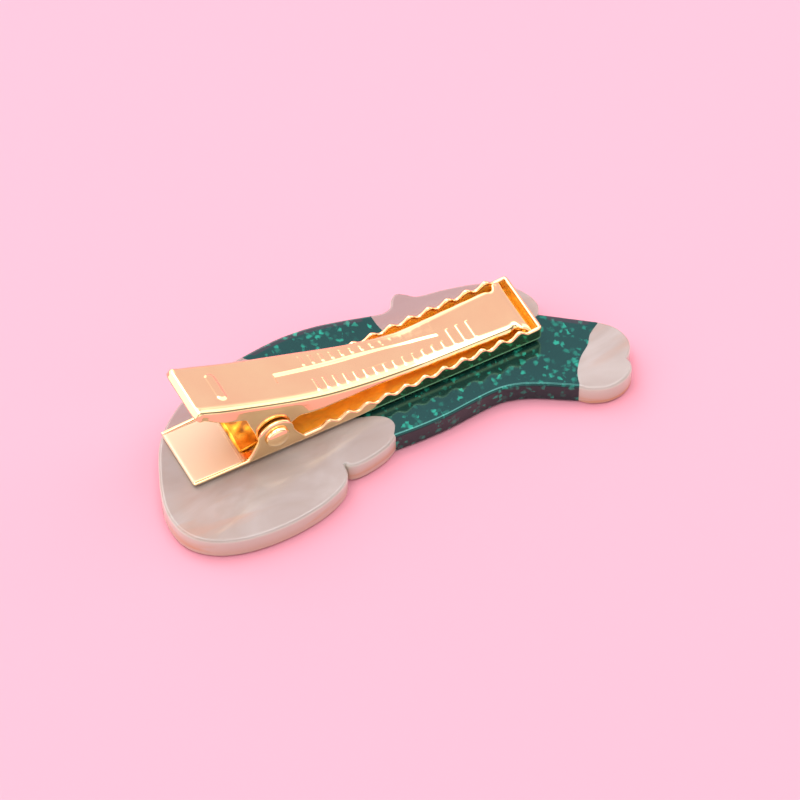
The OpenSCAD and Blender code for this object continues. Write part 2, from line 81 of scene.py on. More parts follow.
class ClipSizes(bpy.types.PropertyGroup):
    """Sizes of the clip and its plate."""

    plate_thickness: length("Plate thickness", "Thickness of the acetate plate", 3)
    edge_radius: length("Plate edge radius", "Radius of the plate's polished edges", 0.4)
    glue: length("Glue thickness", "Thickness of the glue film under the clip", 0.2)
    sheet: length("Sheet thickness", "Thickness of the pressed sheet metal", 0.5)
    jaw_rear: length("Jaw behind the pin", "Length of the lower jaw behind the pin", 10.6)
    jaw_front: length("Jaw in front of the pin", "Length of the lower jaw in front of the pin", 34.8)
    jaw_width: length("Jaw width", "Outside width of the lower jaw", 8.9)
    jaw_bend: length("Jaw bend radius", "Outside radius of the bend between floor and walls", 0.8)
    rear_lip: length("Rear lip height", "Height of the jaw's side lips at the rear end", 0.6)
    ear_lip: length("Ear lip height", "Height of the jaw's side lips next to the ears", 0.85)
    ear_radius: length("Ear radius", "Radius of the jaw's ears round the pin", 2.3)
    ear_flare: length("Ear flare", "How far an ear's foot spreads past its round top, on each side", 1.3)
    tooth_pitch: length("Tooth pitch", "Distance from one tooth to the next", 2.5)
    rear_valley: length("Rear valley height", "Height of the valleys between teeth, next to the ears", 1.2)
    front_valley: length("Front valley height", "Height of the valleys between teeth, at the front", 2.35)
    rear_tooth: length("Rear tooth height", "Height of a tooth above its valley, next to the ears", 0.65)
    front_tooth: length("Front tooth height", "Height of a tooth above its valley, at the front", 0.8)
    front_wall: length("Front wall height", "Height of the jaw's front wall", 2.5)
    valley_setback: length("Last valley setback", "Distance of the last valley from the jaw's front", 1.75)
    pin_height: length("Pin height", "Height of the pin above the jaw's underside", 3.5)
    pin_diameter: length("Pin diameter", "Diameter of the hinge pin", 1.8)
    head_diameter: length("Rivet head diameter", "Diameter of the rivet heads", 3)
    head_height: length("Rivet head height", "Height of the rivet heads", 0.8)
    lever_rear: length("Lever behind the pin", "Length of the lever behind the pin", 9.7)
    lever_front_height: length("Lever front height", "Flat front's height above the jaw's underside", 2.95)
    lever_rise: length("Lever rise", "Rise of the lever from its flat front to its rear end", 9.95)
    lever_flat_start: length("Flat start", "Distance from the pin to the start of the lever's flat front", 20)
    lever_width: length("Lever width", "Width of the lever at the pin", 7.7)
    waist_width: length("Waist width", "Width of the lever where its flat front starts", 6.05)
    neck_width: length("Neck width", "Width of the lever just behind its nose", 6.75)
    nose_width: length("Nose width", "Width of the lever's cross-shaped nose", 7.5)
    nose_front: length("Nose front", "Distance from the pin to the front of the nose", 33.45)
    fold_radius: length("Fold radius", "Outside radius of the lever's folded edges", 0.7)
    rib_height: length("Rib height", "Height of the boss, by which the pressed ribs are measured", 0.17)
    rib_pitch: length("Rib pitch", "Distance from one cross rib to the next", 1.3)
    rib_start: length("Rib start", "Distance from the pin to the first cross rib", 6.4)
    channel_start: length("Channel start", "Distance from the pin to the start of the pressed channel", 2)
    channel_length: length("Channel length", "Length of the pressed channel", 21.5)
    channel_width: length("Channel width", "Width of the channel where it is widest", 2.2)
    channel_rear_width: length("Channel rear width", "Width of the channel at its rear end", 1.2)
    channel_depth: length("Channel depth", "Depth of the channel", 0.2)
    spring_width: length("Spring width", "Width of the spring strip", 5.4)
    spring_thickness: length("Spring thickness", "Thickness of the spring strip", 0.35)


class ClipColours(bpy.types.PropertyGroup):
    """Colours of the clip, its plate and the stage."""

    gold: colour("Gold", "Polished gold plating", (1.0, 0.74, 0.40))
    gold_tarnish: colour("Gold tint", "Slightly redder patches of the plating", (0.98, 0.66, 0.36))
    # Deeper orange standing in for light bounced between the gold faces in the tray and under the lever:
    # painted light
    painted_bounce_gold: colour("Gold inside", "Plating inside the tray and under the lever", (1.0, 0.57, 0.07))
    # A satin finish whose pale, less metallic colour paints in the peach reflection of the polished floor
    # behind the spring
    satin_painted_reflection: colour("Satin gold", "Floor of the tray behind the spring", (0.705, 0.482, 0.327))
    # Deep orange and dark brown standing in for bounced light and shade in the hollow under the lever:
    # painted light
    spring: colour("Spring", "Main colour of the spring", (0.72, 0.27, 0.015))
    spring_painted_shade: colour("Dark spring", "Darkest patches of the spring", (0.20, 0.06, 0.006))
    grey_light: colour("Light pearl", "Lighter bands of the grey acetate", (0.309, 0.254, 0.238))
    grey_dark: colour("Dark pearl", "Darkest bands of the grey acetate", (0.276, 0.211, 0.188))
    grey_streak: colour("Warm streaks", "Warm streaks in the grey acetate", (0.39, 0.172, 0.109))
    # Darker and rosier towards the plate's far side: painted shade
    grey_far_shade: colour("Rosy pearl", "Deeper pearl on the far side of the plate", (0.268, 0.16, 0.165))
    grey_side: colour("Pearl side", "Upper part of the grey acetate's sides", (0.49, 0.47, 0.41))
    grey_edge: colour("Warm edge", "Lower part of the grey acetate's sides", (0.50, 0.37, 0.29))
    grey_grain: colour("Brown grain", "Brown streaks along the grey acetate's sides", (0.50, 0.27, 0.15))
    green_deep: colour("Deep green", "Ground colour of the green acetate", (0.00234, 0.0164, 0.0152))
    green_flake: colour("Emerald flakes", "Bright flakes in the green acetate", (0.014, 0.257, 0.183))
    # On the far side this colour also covers a strip of the flat top: a painted reflection of the rounded
    # edge
    green_edge: colour("Green edge", "Sides and far edge of the green acetate", (0.008, 0.017, 0.018))
    green_gloss: colour("Green gloss", "Tint of reflections on the green acetate's top", (0.33, 1.0, 0.92))
    # This tint also covers the strip of flat top along the far edge, a painted reflection
    edge_gloss: colour("Edge gloss", "Tint of reflections on the green acetate's far edge", (0.88, 0.88, 1.0))
    side_gloss: colour("Side gloss", "Tint of reflections on the green acetate's sides", (0.18, 0.3, 0.33))
    glue: colour("Glue", "Cured glue", (0.72, 0.66, 0.55))
    floor: colour("Floor", "Pale floor", (0.68, 0.284, 0.362))
    screen: colour("Screen", "Rosy screen of the studio, seen in the polished gold", (0.475, 0.373, 0.432))
    lamp: colour("Lamp", "Softbox behind the object", (1.0, 0.96, 0.95))


def sizes():
    """The clip's sizes as the scene holds them."""
    return bpy.context.scene.clip_sizes


def colours():
    """The clip's colours as the scene holds them."""
    return bpy.context.scene.clip_colours


def jaw_level(size):
    """Height of the jaw's underside: the plate and the glue below it."""
    return size.plate_thickness + size.glue


def pin_level(size):
    """Height of the hinge pin's middle."""
    return jaw_level(size) + size.pin_height


def mix(a, b, share):
    """The value at a share of the way from a to b."""
    return a + (b - a) * share


def ease(share):
    """A smooth step, 3 s^2 - 2 s^3, held at 0 and 1 outside its range."""
    s = np.clip(share, 0, 1)
    return s * s * (3 - 2 * s)


def smoothed(values, reach):
    """Values along a line, averaged over a bell of neighbours, with both ends held."""
    bell = np.hanning(2 * reach + 3)[1:-1]
    held = np.pad(values, reach, mode="edge")
    return np.convolve(held, bell / bell.sum(), mode="valid")


def grid_faces(rows, columns, closed):
    """Quads of a grid of rows by columns. A closed grid joins its last column to its first."""
    index = np.arange(rows * columns).reshape(rows, columns)
    if closed:
        index = np.concatenate([index, index[:, :1]], axis=1)
    corners = [index[:-1, :-1], index[1:, :-1], index[1:, 1:], index[:-1, 1:]]
    return np.stack(corners, axis=-1).reshape(-1, 4)


def capped_faces(rings, around):
    """Faces of a stack of closed rings, with one face over the first ring and one under the last."""
    top = list(range(around))
    under = [around * (rings - 1) + i for i in reversed(top)]
    return grid_faces(rings, around, True).tolist() + [top, under]


SHARP_ANGLE = math.radians(50)
JOIN_DISTANCE = 2e-7
SLIVER = 1e-8


def add_piece(name, vertices, faces, material, body, node, shares=None):
    """Puts a closed surface into the scene, joins its doubled points, gives it its material and ties it to
    its body.

    shares holds a value for each point under a name, which the material reads as the attribute of that name.
    A piece may be given no body.
    """
    mesh = bpy.data.meshes.new(name)
    mesh.from_pydata(vertices.reshape(-1, 3).tolist(), [], faces)
    for key, values in (shares or {}).items():
        mesh.attributes.new(key, "FLOAT", "POINT").data.foreach_set("value", values)
    bm = bmesh.new()
    bm.from_mesh(mesh)
    bmesh.ops.remove_doubles(bm, verts=bm.verts, dist=JOIN_DISTANCE)
    bmesh.ops.dissolve_degenerate(bm, edges=bm.edges, dist=SLIVER)
    bm.to_mesh(mesh)
    bm.free()
    mesh.shade_smooth()
    mesh.set_sharp_from_angle(angle=SHARP_ANGLE)
    mesh.materials.append(material)
    piece = bpy.data.objects.new(name, mesh)
    bpy.context.scene.collection.objects.link(piece)
    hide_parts(node)
    if body:
        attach(piece, body)
    return piece


# Materials

MIX_INPUTS = (0, 6, 7)
MIX_RESULT = 2


def material_tree(name):
    """An empty procedural material, its node tree and its Principled shader."""
    material = bpy.data.materials.new(name)
    material.use_nodes = True
    tree = material.node_tree
    return material, tree, tree.nodes["Principled BSDF"]


def set_sockets(tree, node, values):
    """Sets a node's sockets, or links those whose value is another node's socket."""
    for key, value in values.items():
        if isinstance(value, bpy.types.NodeSocket):
            tree.links.new(value, node.inputs[key])
        else:
            node.inputs[key].default_value = value


def add_node(tree, kind, **values):
    """A node of this kind with its named inputs set or linked."""
    node = tree.nodes.new(kind)
    set_sockets(tree, node, {name.replace("_", " ").title(): value for name, value in values.items()})
    return node


def object_place(tree, scale=(1, 1, 1), turn=(0, 0, 0)):
    """The place on the object, stretched and turned by a Mapping node."""
    place = tree.nodes.new("ShaderNodeTexCoord").outputs["Object"]
    return add_node(tree, "ShaderNodeMapping", vector=place, scale=scale, rotation=turn).outputs["Vector"]


def part_of(tree, vector, axis):
    """One of a vector's three parts."""
    return add_node(tree, "ShaderNodeSeparateXYZ", vector=vector).outputs[axis]


def noise(tree, place=None, **values):
    """Noise over the object, or over a stretched place on it."""
    if place is None:
        place = object_place(tree)
    return add_node(tree, "ShaderNodeTexNoise", vector=place, **values).outputs["Fac"]


def ramp(tree, factor, stops):
    """A colour ramp through (place, colour) stops."""
    node = tree.nodes.new("ShaderNodeValToRGB")
    tree.links.new(factor, node.inputs["Fac"])
    while len(node.color_ramp.elements) < len(stops):
        node.color_ramp.elements.new(0.5)
    for element, (place, rgb) in zip(node.color_ramp.elements, stops):
        element.position = place
        element.color = (*rgb, 1)
    return node.outputs["Color"]


def grey(value):
    """A grey as a colour, or one scale for all three axes."""
    return (value, value, value)


def rising(tree, factor, start, end, top=1):
    """A share that is 0 up to the start and rises to its top at the end."""
    return ramp(tree, factor, [(start, grey(0)), (end, grey(top))])


def mixed(tree, factor, first, second):
    """Two colours mixed by a factor. Each of the three is another node's socket or a plain value."""
    node = tree.nodes.new("ShaderNodeMix")
    node.data_type = "RGBA"
    ends = [end if isinstance(end, bpy.types.NodeSocket) else (*end, 1) for end in (first, second)]
    set_sockets(tree, node, dict(zip(MIX_INPUTS, (factor, *ends))))
    return node.outputs[MIX_RESULT]


def attribute(tree, name):
    """A value that the piece's points carry under this name, or 0 where they carry none."""
    node = tree.nodes.new("ShaderNodeAttribute")
    node.attribute_name = name
    return node.outputs["Fac"]


def bump(tree, shader, height, strength, distance):
    """Raises the surface's shading by a height, on top of any bump that the shader already has."""
    node = add_node(tree, "ShaderNodeBump", height=height, strength=strength, distance=distance)
    for link in shader.inputs["Normal"].links:
        tree.links.new(link.from_socket, node.inputs["Normal"])
    tree.links.new(node.outputs["Normal"], shader.inputs["Normal"])


def gold_plating():
    """Polished gold plating: soft redder patches, slight smudges and fine rolling lines.

    Where "inside" is 1 it is duller and wavier, and a deeper orange that is painted light bounced between the
    gold faces.
    Where "satin" is 1 it is satin, and paler: a painted reflection.
    """
    if "gold_plating" in bpy.data.materials:
        return bpy.data.materials["gold_plating"]
    tint = colours()
    material, tree, shader = material_tree("gold_plating")
    inside, satin = attribute(tree, "inside"), attribute(tree, "satin")
    patches = noise(tree, scale=140, detail=3)
    gold = ramp(tree, patches, [(0.35, tint.gold), (0.7, tint.gold_tarnish)])
    # Where "inside" is 1, a deeper orange: painted light bounced between the gold faces
    gold = mixed(tree, inside, gold, tint.painted_bounce_gold)
    smudges = noise(tree, scale=420, detail=5)
    dull = ramp(tree, smudges, [(0.3, grey(0.08)), (0.75, grey(0.14))])
    dull = mixed(tree, inside, dull, grey(0.2))
    metal = ramp(tree, inside, [(0.0, grey(1)), (1.0, grey(0.5))])
    set_sockets(tree, shader, {
        # Where "satin" is 1: satin, and paler, a painted reflection
        "Base Color": mixed(tree, satin, gold, tint.satin_painted_reflection),
        "Roughness": mixed(tree, satin, dull, grey(0.3)),
        "Metallic": mixed(tree, satin, metal, grey(0.4)),
    })
    rolling_lines = noise(tree, scale=1, detail=2, place=object_place(tree, (60, 2600, 900)))
    bump(tree, shader, rolling_lines, strength=0.05, distance=0.04 * MM)
    waves = noise(tree, scale=900, detail=1)
    bump(tree, shader, waves, strength=inside, distance=0.18 * MM)
    return material


def spring_gold():
    """Spring gold mottled brown, orange and yellow on an uneven surface: painted shade and bounced light."""
    tint = colours()
    material, tree, shader = material_tree("spring_gold")
    mottle = noise(tree, scale=550, detail=1)
    # Brown, orange and yellow patches: painted shade and bounced light, laid at random
    gold = ramp(tree, mottle, [(0.38, tint.spring_painted_shade), (0.52, tint.spring), (0.7, tint.painted_bounce_gold)])
    bump(tree, shader, mottle, strength=0.5, distance=0.15 * MM)
    set_sockets(tree, shader, {"Base Color": gold, "Metallic": 0.8, "Roughness": 0.25})
    return material


def side_faces(tree):
    """A share that is 0 where the surface faces up and 1 on the rounded edges and sides."""
    facing = tree.nodes.new("ShaderNodeNewGeometry").outputs["Normal"]
    return ramp(tree, part_of(tree, facing, "Z"), [(0.3, grey(1)), (0.8, grey(0))])


def grey_acetate():
    """Pearly grey acetate under a clear polish: drifting bands of light and dark, and a few warm streaks.

    It turns darker and rosier towards the plate's far side, as painted shade.
    Its sides are layered with brown grain, and paler higher up.
    """
    if "pearl_acetate" in bpy.data.materials:
        return bpy.data.materials["pearl_acetate"]
    tint = colours()
    material, tree, shader = material_tree("pearl_acetate")
    drift_place = object_place(tree, scale=(70, 130, 130), turn=(0, 0, 0.5))
    drift = noise(tree, scale=1, detail=3, place=drift_place, distortion=1.5)
    brightest = mix(np.array(tint.grey_light), 1.0, 0.06)
    pearl = ramp(tree, drift, [(0.3, tint.grey_dark), (0.52, tint.grey_light), (0.7, brightest)])
    streak_place = object_place(tree, scale=(45, 220, 220), turn=(0, 0, -0.6))
    streaks = noise(tree, scale=1, detail=4, place=streak_place, distortion=1.4)
    pearl = mixed(tree, rising(tree, streaks, 0.58, 0.72, top=0.3), pearl, tint.grey_streak)
    # Darker, rosier pearl towards the far side: painted shade
    across_cm = part_of(tree, object_place(tree, grey(1 / CM)), "Y")
    pearl = mixed(tree, rising(tree, across_cm, 0.1, 0.7, top=0.8), pearl, tint.grey_far_shade)
    layer_place = object_place(tree, scale=(110, 110, 700), turn=(0.2, 0.12, 0))
    layers = noise(tree, scale=1, detail=4, place=layer_place, distortion=0.8)
    side = ramp(tree, layers, [(0.5, tint.grey_edge), (0.66, tint.grey_grain)])
    height = part_of(tree, object_place(tree, grey(1 / sizes().plate_thickness)), "Z")
    side = mixed(tree, rising(tree, height, 0.25, 0.85), side, tint.grey_side)
    set_sockets(tree, shader, {
        "Base Color": mixed(tree, side_faces(tree), pearl, side),
        "Roughness": 0.22,
        "Coat Weight": 0.4,
        "Coat Roughness": 0.06,
        "Subsurface Weight": 0.12,
        "Subsurface Radius": (1.6 * MM, 1.1 * MM, 1.0 * MM),
        "Subsurface Scale": 1,
    })
    return material


def green_acetate():
    """Dark green acetate with emerald flakes under a clear polish, browner on its sides and far edge.
    The far edge's colour and gloss tint spread over a strip of the flat top: a painted reflection of the
    rounded edge.

    A flake is a bent Voronoi cell, shrunk by its distance and picked by its own chance colour.
    """
    tint = colours()
    material, tree, shader = material_tree("flaked_acetate")
    bend_share = 0.0009
    bending = add_node(tree, "ShaderNodeTexNoise", vector=object_place(tree), scale=1400, detail=2)
    bent = mixed(tree, bend_share, object_place(tree), bending.outputs["Color"])
    cells = add_node(tree, "ShaderNodeTexVoronoi", vector=bent, scale=1450)
    shrunk = ramp(tree, cells.outputs["Distance"], [(0.25, grey(1)), (0.62, grey(0))])
    chance = add_node(tree, "ShaderNodeSeparateColor", color=cells.outputs["Color"]).outputs["Red"]
    flakes = mixed(tree, rising(tree, chance, 0.55, 1.0), grey(0), shrunk)
    clouds = noise(tree, scale=170, detail=4)
    ground = ramp(tree, clouds, [(0.3, tint.green_deep), (0.75, np.array(tint.green_deep) * 1.5)])
    # A strip of the top along the far edge takes the edge's colour and gloss tint: a painted reflection of
    # the rounded edge
    far_edge = rising(tree, attribute(tree, "far_edge"), 0.1, 0.3)
    sides = side_faces(tree)
    ground = mixed(tree, mixed(tree, far_edge, sides, grey(1)), ground, tint.green_edge)
    gloss = mixed(tree, far_edge, tint.green_gloss, tint.edge_gloss)
    set_sockets(tree, shader, {
        "Base Color": mixed(tree, flakes, ground, tint.green_flake),
        "Specular Tint": mixed(tree, sides, gloss, tint.side_gloss),
        "Roughness": 0.12,
        "Specular IOR Level": 1.0,
        "Coat Weight": 0.05,
        "Coat Roughness": 0.04,
    })
    return material


def cured_glue():
    """Clear cured glue: yellowish, cloudy and a little uneven."""
    tint = colours()
    material, tree, shader = material_tree("cured_glue")
    cloud = noise(tree, scale=600, detail=3)
    pale = mix(np.array(tint.glue), 1.0, 0.4)
    bump(tree, shader, cloud, strength=0.2, distance=0.1 * MM)
    clouded = ramp(tree, cloud, [(0.3, tint.glue), (0.8, pale)])
    set_sockets(tree, shader, {"Base Color": clouded, "Roughness": 0.4})
    return material


# Pressed sheet

BEND_ROWS = 6
WALL_ROWS = 6
RIM_ROWS = 4
SQUARENESS = 6
BEND_LIMIT = 0.8


def bent_sheet(way, radius, share):
    """Sideways reach, fall and turn after a way along a bend of this radius and the straight wall past it.

    The share is how much of the quarter turn is made: at 1 the wall is upright, near 0 the sheet stays flat.
    """
    turn = share * np.clip(way / radius, 0, math.pi / 2)
    wall = np.maximum(way - radius * math.pi / 2, 0)
    reach = radius / share * np.sin(turn) + wall * np.cos(turn)
    fall = radius / share * (1 - np.cos(turn)) + wall * np.sin(turn)
    return reach, fall, turn


def length_of_fall(fall, radius):
    """The length along an upright bend and wall that reaches this fall, by bent_sheet with a share of 1."""
    in_bend = radius * np.arccos(np.clip(1 - fall / radius, -1, 1))
    return np.where(fall < radius, in_bend, radius * math.pi / 2 + fall - radius)


def pressed_sheet(path, base_run, rim_run, rim_length, spine, level, slope, side, radius, half, relief,
                  flat_shares, end_shares):
    """Vertices and faces of a pressed sheet, a flat part whose edge is bent along a path into a wall.

    path holds the bend line: its run, x, y, outward angle and share of the bend. Round a corner the reach is
    stretched by (|cos|^6 + |sin|^6)^(-1/6), which makes the corner squarer than a circle. Station by station,
    a row of points goes from the spine on the middle line out to the bend line at base_run, and on to the rim
    at (rim_run, rim_length), measured along the unrolled wall. The wall goes up where side is 1, and down
    where it is -1. The rim's last rows follow a quarter circle, where the sheet's half thickness is
    half * cos(angle), so the two skins meet in a rounded edge. Each skin is the middle surface plus or minus
    the half thickness along its normal. level(x) and slope(x) give the flat part's height, flat_shares says
    how far out each of its rows lies, and relief(x, y) is pressed up from it. end_shares thins the sheet to
    its two ends, and is None where the rim goes all the way round. The last thing given back is 1 for each
    point of a skin, and 0 on the rim.
    """
    closed = end_shares is None
    if closed:
        total = path["run"][-1] - path["run"][0]
        ahead = np.concatenate([rim_run[-1:] - total, rim_run, rim_run[:1] + total])
        tall = np.concatenate([rim_length[-1:], rim_length, rim_length[:1]])
        along_run = np.gradient(ahead)[1:-1]
        along_length = np.gradient(tall)[1:-1]
    else:
        along_run = np.gradient(rim_run)
        along_length = np.gradient(rim_length)
    speed = np.hypot(along_run, along_length)
    turns = np.linspace(0, math.pi / 2, RIM_ROWS + 1)[:, None]
    inset = half * (1 - np.sin(turns))
    rim_runs = rim_run + inset * along_length / speed
    rim_lengths = rim_length - inset * along_run / speed

    # rows over the bend and up the wall, to the first row of the rim
    inner_run, inner_length = rim_runs[0], rim_lengths[0]
    bend_end = np.minimum(radius * math.pi / 2, BEND_LIMIT * inner_length)
    over_bend = np.linspace(0, 1, BEND_ROWS + 1)[1:, None] * bend_end
    up_wall = bend_end + np.linspace(0, 1, WALL_ROWS + 1)[1:-1, None] * (inner_length - bend_end)
    lengths = np.concatenate([over_bend, up_wall])
    runs = base_run + (inner_run - base_run) * lengths / inner_length
    runs = np.concatenate([runs, rim_runs])
    lengths = np.concatenate([lengths, rim_lengths])
    wall_half = half * np.concatenate([np.ones((len(lengths) - RIM_ROWS - 1, 1)), np.cos(turns)])

    def bend_line(run):
        """The bend line's x, y, outward angle and share of the bend at a run."""
        return [np.interp(run, path["run"], path[key]) for key in ("x", "y", "angle", "bend")]

    line_x, line_y, line_angle, line_bend = bend_line(runs)
    cos_out, sin_out = np.cos(line_angle), np.sin(line_angle)
    reach, fall, turn = bent_sheet(lengths, radius, line_bend)
    reach *= (np.abs(cos_out) ** SQUARENESS + np.abs(sin_out) ** SQUARENESS) ** (-1 / SQUARENESS)
    x = line_x + cos_out * reach
    y = line_y + sin_out * reach
    middle = np.stack([x, y, level(x) + side * fall], axis=-1)
    lean = -side * np.sin(turn)
    normal = np.stack([lean * cos_out - slope(x) * np.cos(turn), lean * sin_out, np.cos(turn)], axis=-1)

    # rows over the flat part, from the spine to the bend line
    base_x, base_y, _, _ = bend_line(base_run)
    flat_x = mix(np.clip(base_x, *spine), base_x, flat_shares)
    flat_y = base_y * flat_shares
    flat = np.stack([flat_x, flat_y, level(flat_x)], axis=-1)
    flat_normal = np.stack([-slope(flat_x), 0 * flat_x, 1 + 0 * flat_x], axis=-1)
    pressed = relief(flat_x, flat_y)

    middle = np.concatenate([flat, middle])
    normal = np.concatenate([flat_normal, normal])
    normal /= np.linalg.norm(normal, axis=-1, keepdims=True)
    pressed = np.concatenate([pressed, pressed[-1:] + 0 * lengths])[..., None]
    thick = np.concatenate([np.full_like(flat_x, half), wall_half + 0 * lengths])[..., None]
    if not closed:
        thick = thick * end_shares[None, :, None]
    upper = middle + normal * (thick + pressed)
    lower = middle + normal * (pressed - thick)
    faces = grid_faces(len(middle), len(base_run), closed)
    both = np.concatenate([faces, faces[:, ::-1] + middle.shape[0] * middle.shape[1]])
    on_skin = np.ones(middle.shape[:2])
    on_skin[-RIM_ROWS - 1:] = 0
    return np.concatenate([upper.reshape(-1, 3), lower.reshape(-1, 3)]), both.tolist(), on_skin.ravel()


# Lower jaw

EAR_SPREAD = 1.3
JAW_CORNER = 0.9 * MM
INSIDE_START = -3 * MM
SATIN_END = -4.5 * MM
FADE = 1 * MM


def tooth_rim(size, x):
    """Height of the toothed rim: valley + tooth * (1 - cos(2 pi turns)) / 2, back from the last valley."""
    start = size.ear_radius + size.ear_flare
    end = size.jaw_front - size.valley_setback
    count = math.floor((end - start) / size.tooth_pitch)
    share = np.clip((x - start) / (end - start), 0, 1)
    turns = np.clip((x - end) / size.tooth_pitch, -count, 0)
    wave = (1 - np.cos(2 * math.pi * turns)) / 2
    valley = mix(size.rear_valley, size.front_valley, share)
    teeth = valley + mix(size.rear_tooth, size.front_tooth, share) * wave
    return mix(teeth, size.front_wall, np.clip((x - end) / size.valley_setback, 0, 1))


def ear_rim(size):
    """The rim over one ear as x and height: a half circle on flanks that spread by flare * share ^ 1.3."""
    share = np.linspace(0, 1, 17)
    spread = size.ear_radius + size.ear_flare * share ** EAR_SPREAD
    arc = np.linspace(math.pi, 0, 33)[1:-1]
    x = np.concatenate([-spread[::-1], size.ear_radius * np.cos(arc), spread])
    z = np.concatenate([mix(size.pin_height, size.ear_lip, share[::-1]),
                        size.pin_height + size.ear_radius * np.sin(arc),
                        mix(size.pin_height, size.rear_valley, share)])
    return x, z


def walked(x, z):
    """The share of a line's length walked at each of its points."""
    steps = np.hypot(np.diff(x), np.diff(z))
    way = np.concatenate([[0.0], np.cumsum(steps)])
    return way / way[-1]


class CLIP_OT_lower_jaw(bpy.types.Operator):
    """Adds the lower jaw: a pressed tray with toothed walls, a closed front and two ears for the pin"""

    bl_idname = "hair_clip.lower_jaw"
    bl_label = "Lower jaw"

    def execute(self, context):
        size = sizes()
        half = size.sheet / 2
        radius = size.jaw_bend - half
        inset = size.jaw_width / 2 - size.jaw_bend
        front = size.jaw_front - size.jaw_bend
        side = front + size.jaw_rear

        # the bend line: near side, front and far side, with both corners turned on the spot
        run = np.cumsum([-size.jaw_rear, side, JAW_CORNER, 2 * inset, JAW_CORNER, side])
        path = {"run": run,
                "x": np.array([-size.jaw_rear, front, front, front, front, -size.jaw_rear]),
                "y": np.array([-inset, -inset, -inset, inset, inset, inset]),
                "angle": np.radians([-90, -90, 0, 0, 90, 90]),
                "bend": np.ones(6)}

        # rim of the near side, from the rear to the corner
        rounding = np.linspace(math.pi / 2, 0, 6)
        end_x = -size.jaw_rear + half * (1 - np.sin(rounding))
        foot = size.ear_radius + size.ear_flare
        lip_x = np.concatenate([end_x, np.linspace(end_x[-1], -foot, 24)[1:-1]])
        lip_z = mix(size.rear_lip, size.ear_lip, (lip_x + size.jaw_rear) / (size.jaw_rear - foot))
        ear_x, ear_z = ear_rim(size)
        tooth_x = np.linspace(foot, front, 330)[1:]
        side_rim = np.concatenate([lip_x, ear_x, tooth_x])
        side_tall = np.concatenate([lip_z, ear_z, tooth_rim(size, tooth_x)])
        side_base = np.concatenate([lip_x, mix(-foot, foot, walked(ear_x, ear_z)), tooth_x])

        # the whole rim: near side, front and the mirror image of the near side
        turned = np.linspace(0, 1, 13)[1:-1]
        front_run = np.concatenate([mix(run[1], run[2], turned), np.linspace(run[2], run[3], 25),
                                    mix(run[3], run[4], turned)])
        corner_tall = [side_tall[-1], size.front_wall, size.front_wall, side_tall[-1]]
        front_tall = np.interp(front_run, run[1:5], corner_tall)
        far = run[4] + front
        rim_run = np.concatenate([side_rim, front_run, far - side_rim[::-1]])
        base_run = np.concatenate([side_base, front_run, far - side_base[::-1]])
        tall = np.concatenate([side_tall, front_tall, side_tall[::-1]])
        full = np.ones(len(rim_run) - 2 * len(rounding))
        end_shares = np.concatenate([np.cos(rounding), full, np.cos(rounding[::-1])])

        floor = jaw_level(size) + half
        vertices, faces, on_skin = pressed_sheet(
            path, base_run, rim_run, length_of_fall(tall - half, radius), (-size.jaw_rear, front - inset),
            lambda x: floor + 0 * x, lambda x: 0 * x, 1, radius, half, lambda x, y: 0 * x,
            np.linspace(0, 1, 4)[:, None], end_shares)

        # inside the tray: painted bounced light; satin floor behind the spring: painted reflection
        upper_skin = np.concatenate([on_skin, 0 * on_skin])
        inside = upper_skin * ease((vertices[:, 0] - INSIDE_START) / FADE)
        on_floor = upper_skin * (np.abs(vertices[:, 1]) < inset + half)
        satin = on_floor * (1 - ease((vertices[:, 0] - SATIN_END) / FADE))
        add_piece("lower_jaw_tray", vertices, faces, gold_plating(), BASE, "lower_jaw",
                  {"inside": inside, "satin": satin})
        return {"FINISHED"}


# Lever

BOW = 1.45
TAPER = 2.2
EAR = 2.2 * MM
NOSE_LENGTH = 1.1 * MM
NEAR_SOFT = 0.12 * MM
FAR_SOFT = 0.5 * MM
CHANNEL_SOFT_END = 0.3 * MM
SIDE_STATIONS = 800
CORNER_STATIONS = 8
NOSE_STATIONS = 24
REAR_STATIONS = 30
NOSE_CORNER_STEP = 0.11 * MM
REAR_CORNER_STEP = 0.13 * MM
FLANGE_LEAN = 0.14
ARM_BEND = 0.08
REAR_BEND = 0.64
REAR_FLANGE = 1.5 * MM
REAR_SETBACK = 0.2 * MM
UNDERSIDE_START = -2 * MM


def lever_top(size, x):
    """Height of the lever's top: flat front + rise * (way behind the flat start / run) ^ bow."""
    run = size.lever_flat_start + size.lever_rear
    behind = np.maximum(size.lever_flat_start - x, 0)
    return jaw_level(size) + size.lever_front_height + size.lever_rise * (behind / run) ** BOW


def lever_slope(size, x):
    """Slope of the lever's top, the derivative of lever_top."""
    run = size.lever_flat_start + size.lever_rear
    behind = np.maximum(size.lever_flat_start - x, 0)
    return -BOW * size.lever_rise / run * (behind / run) ** (BOW - 1)


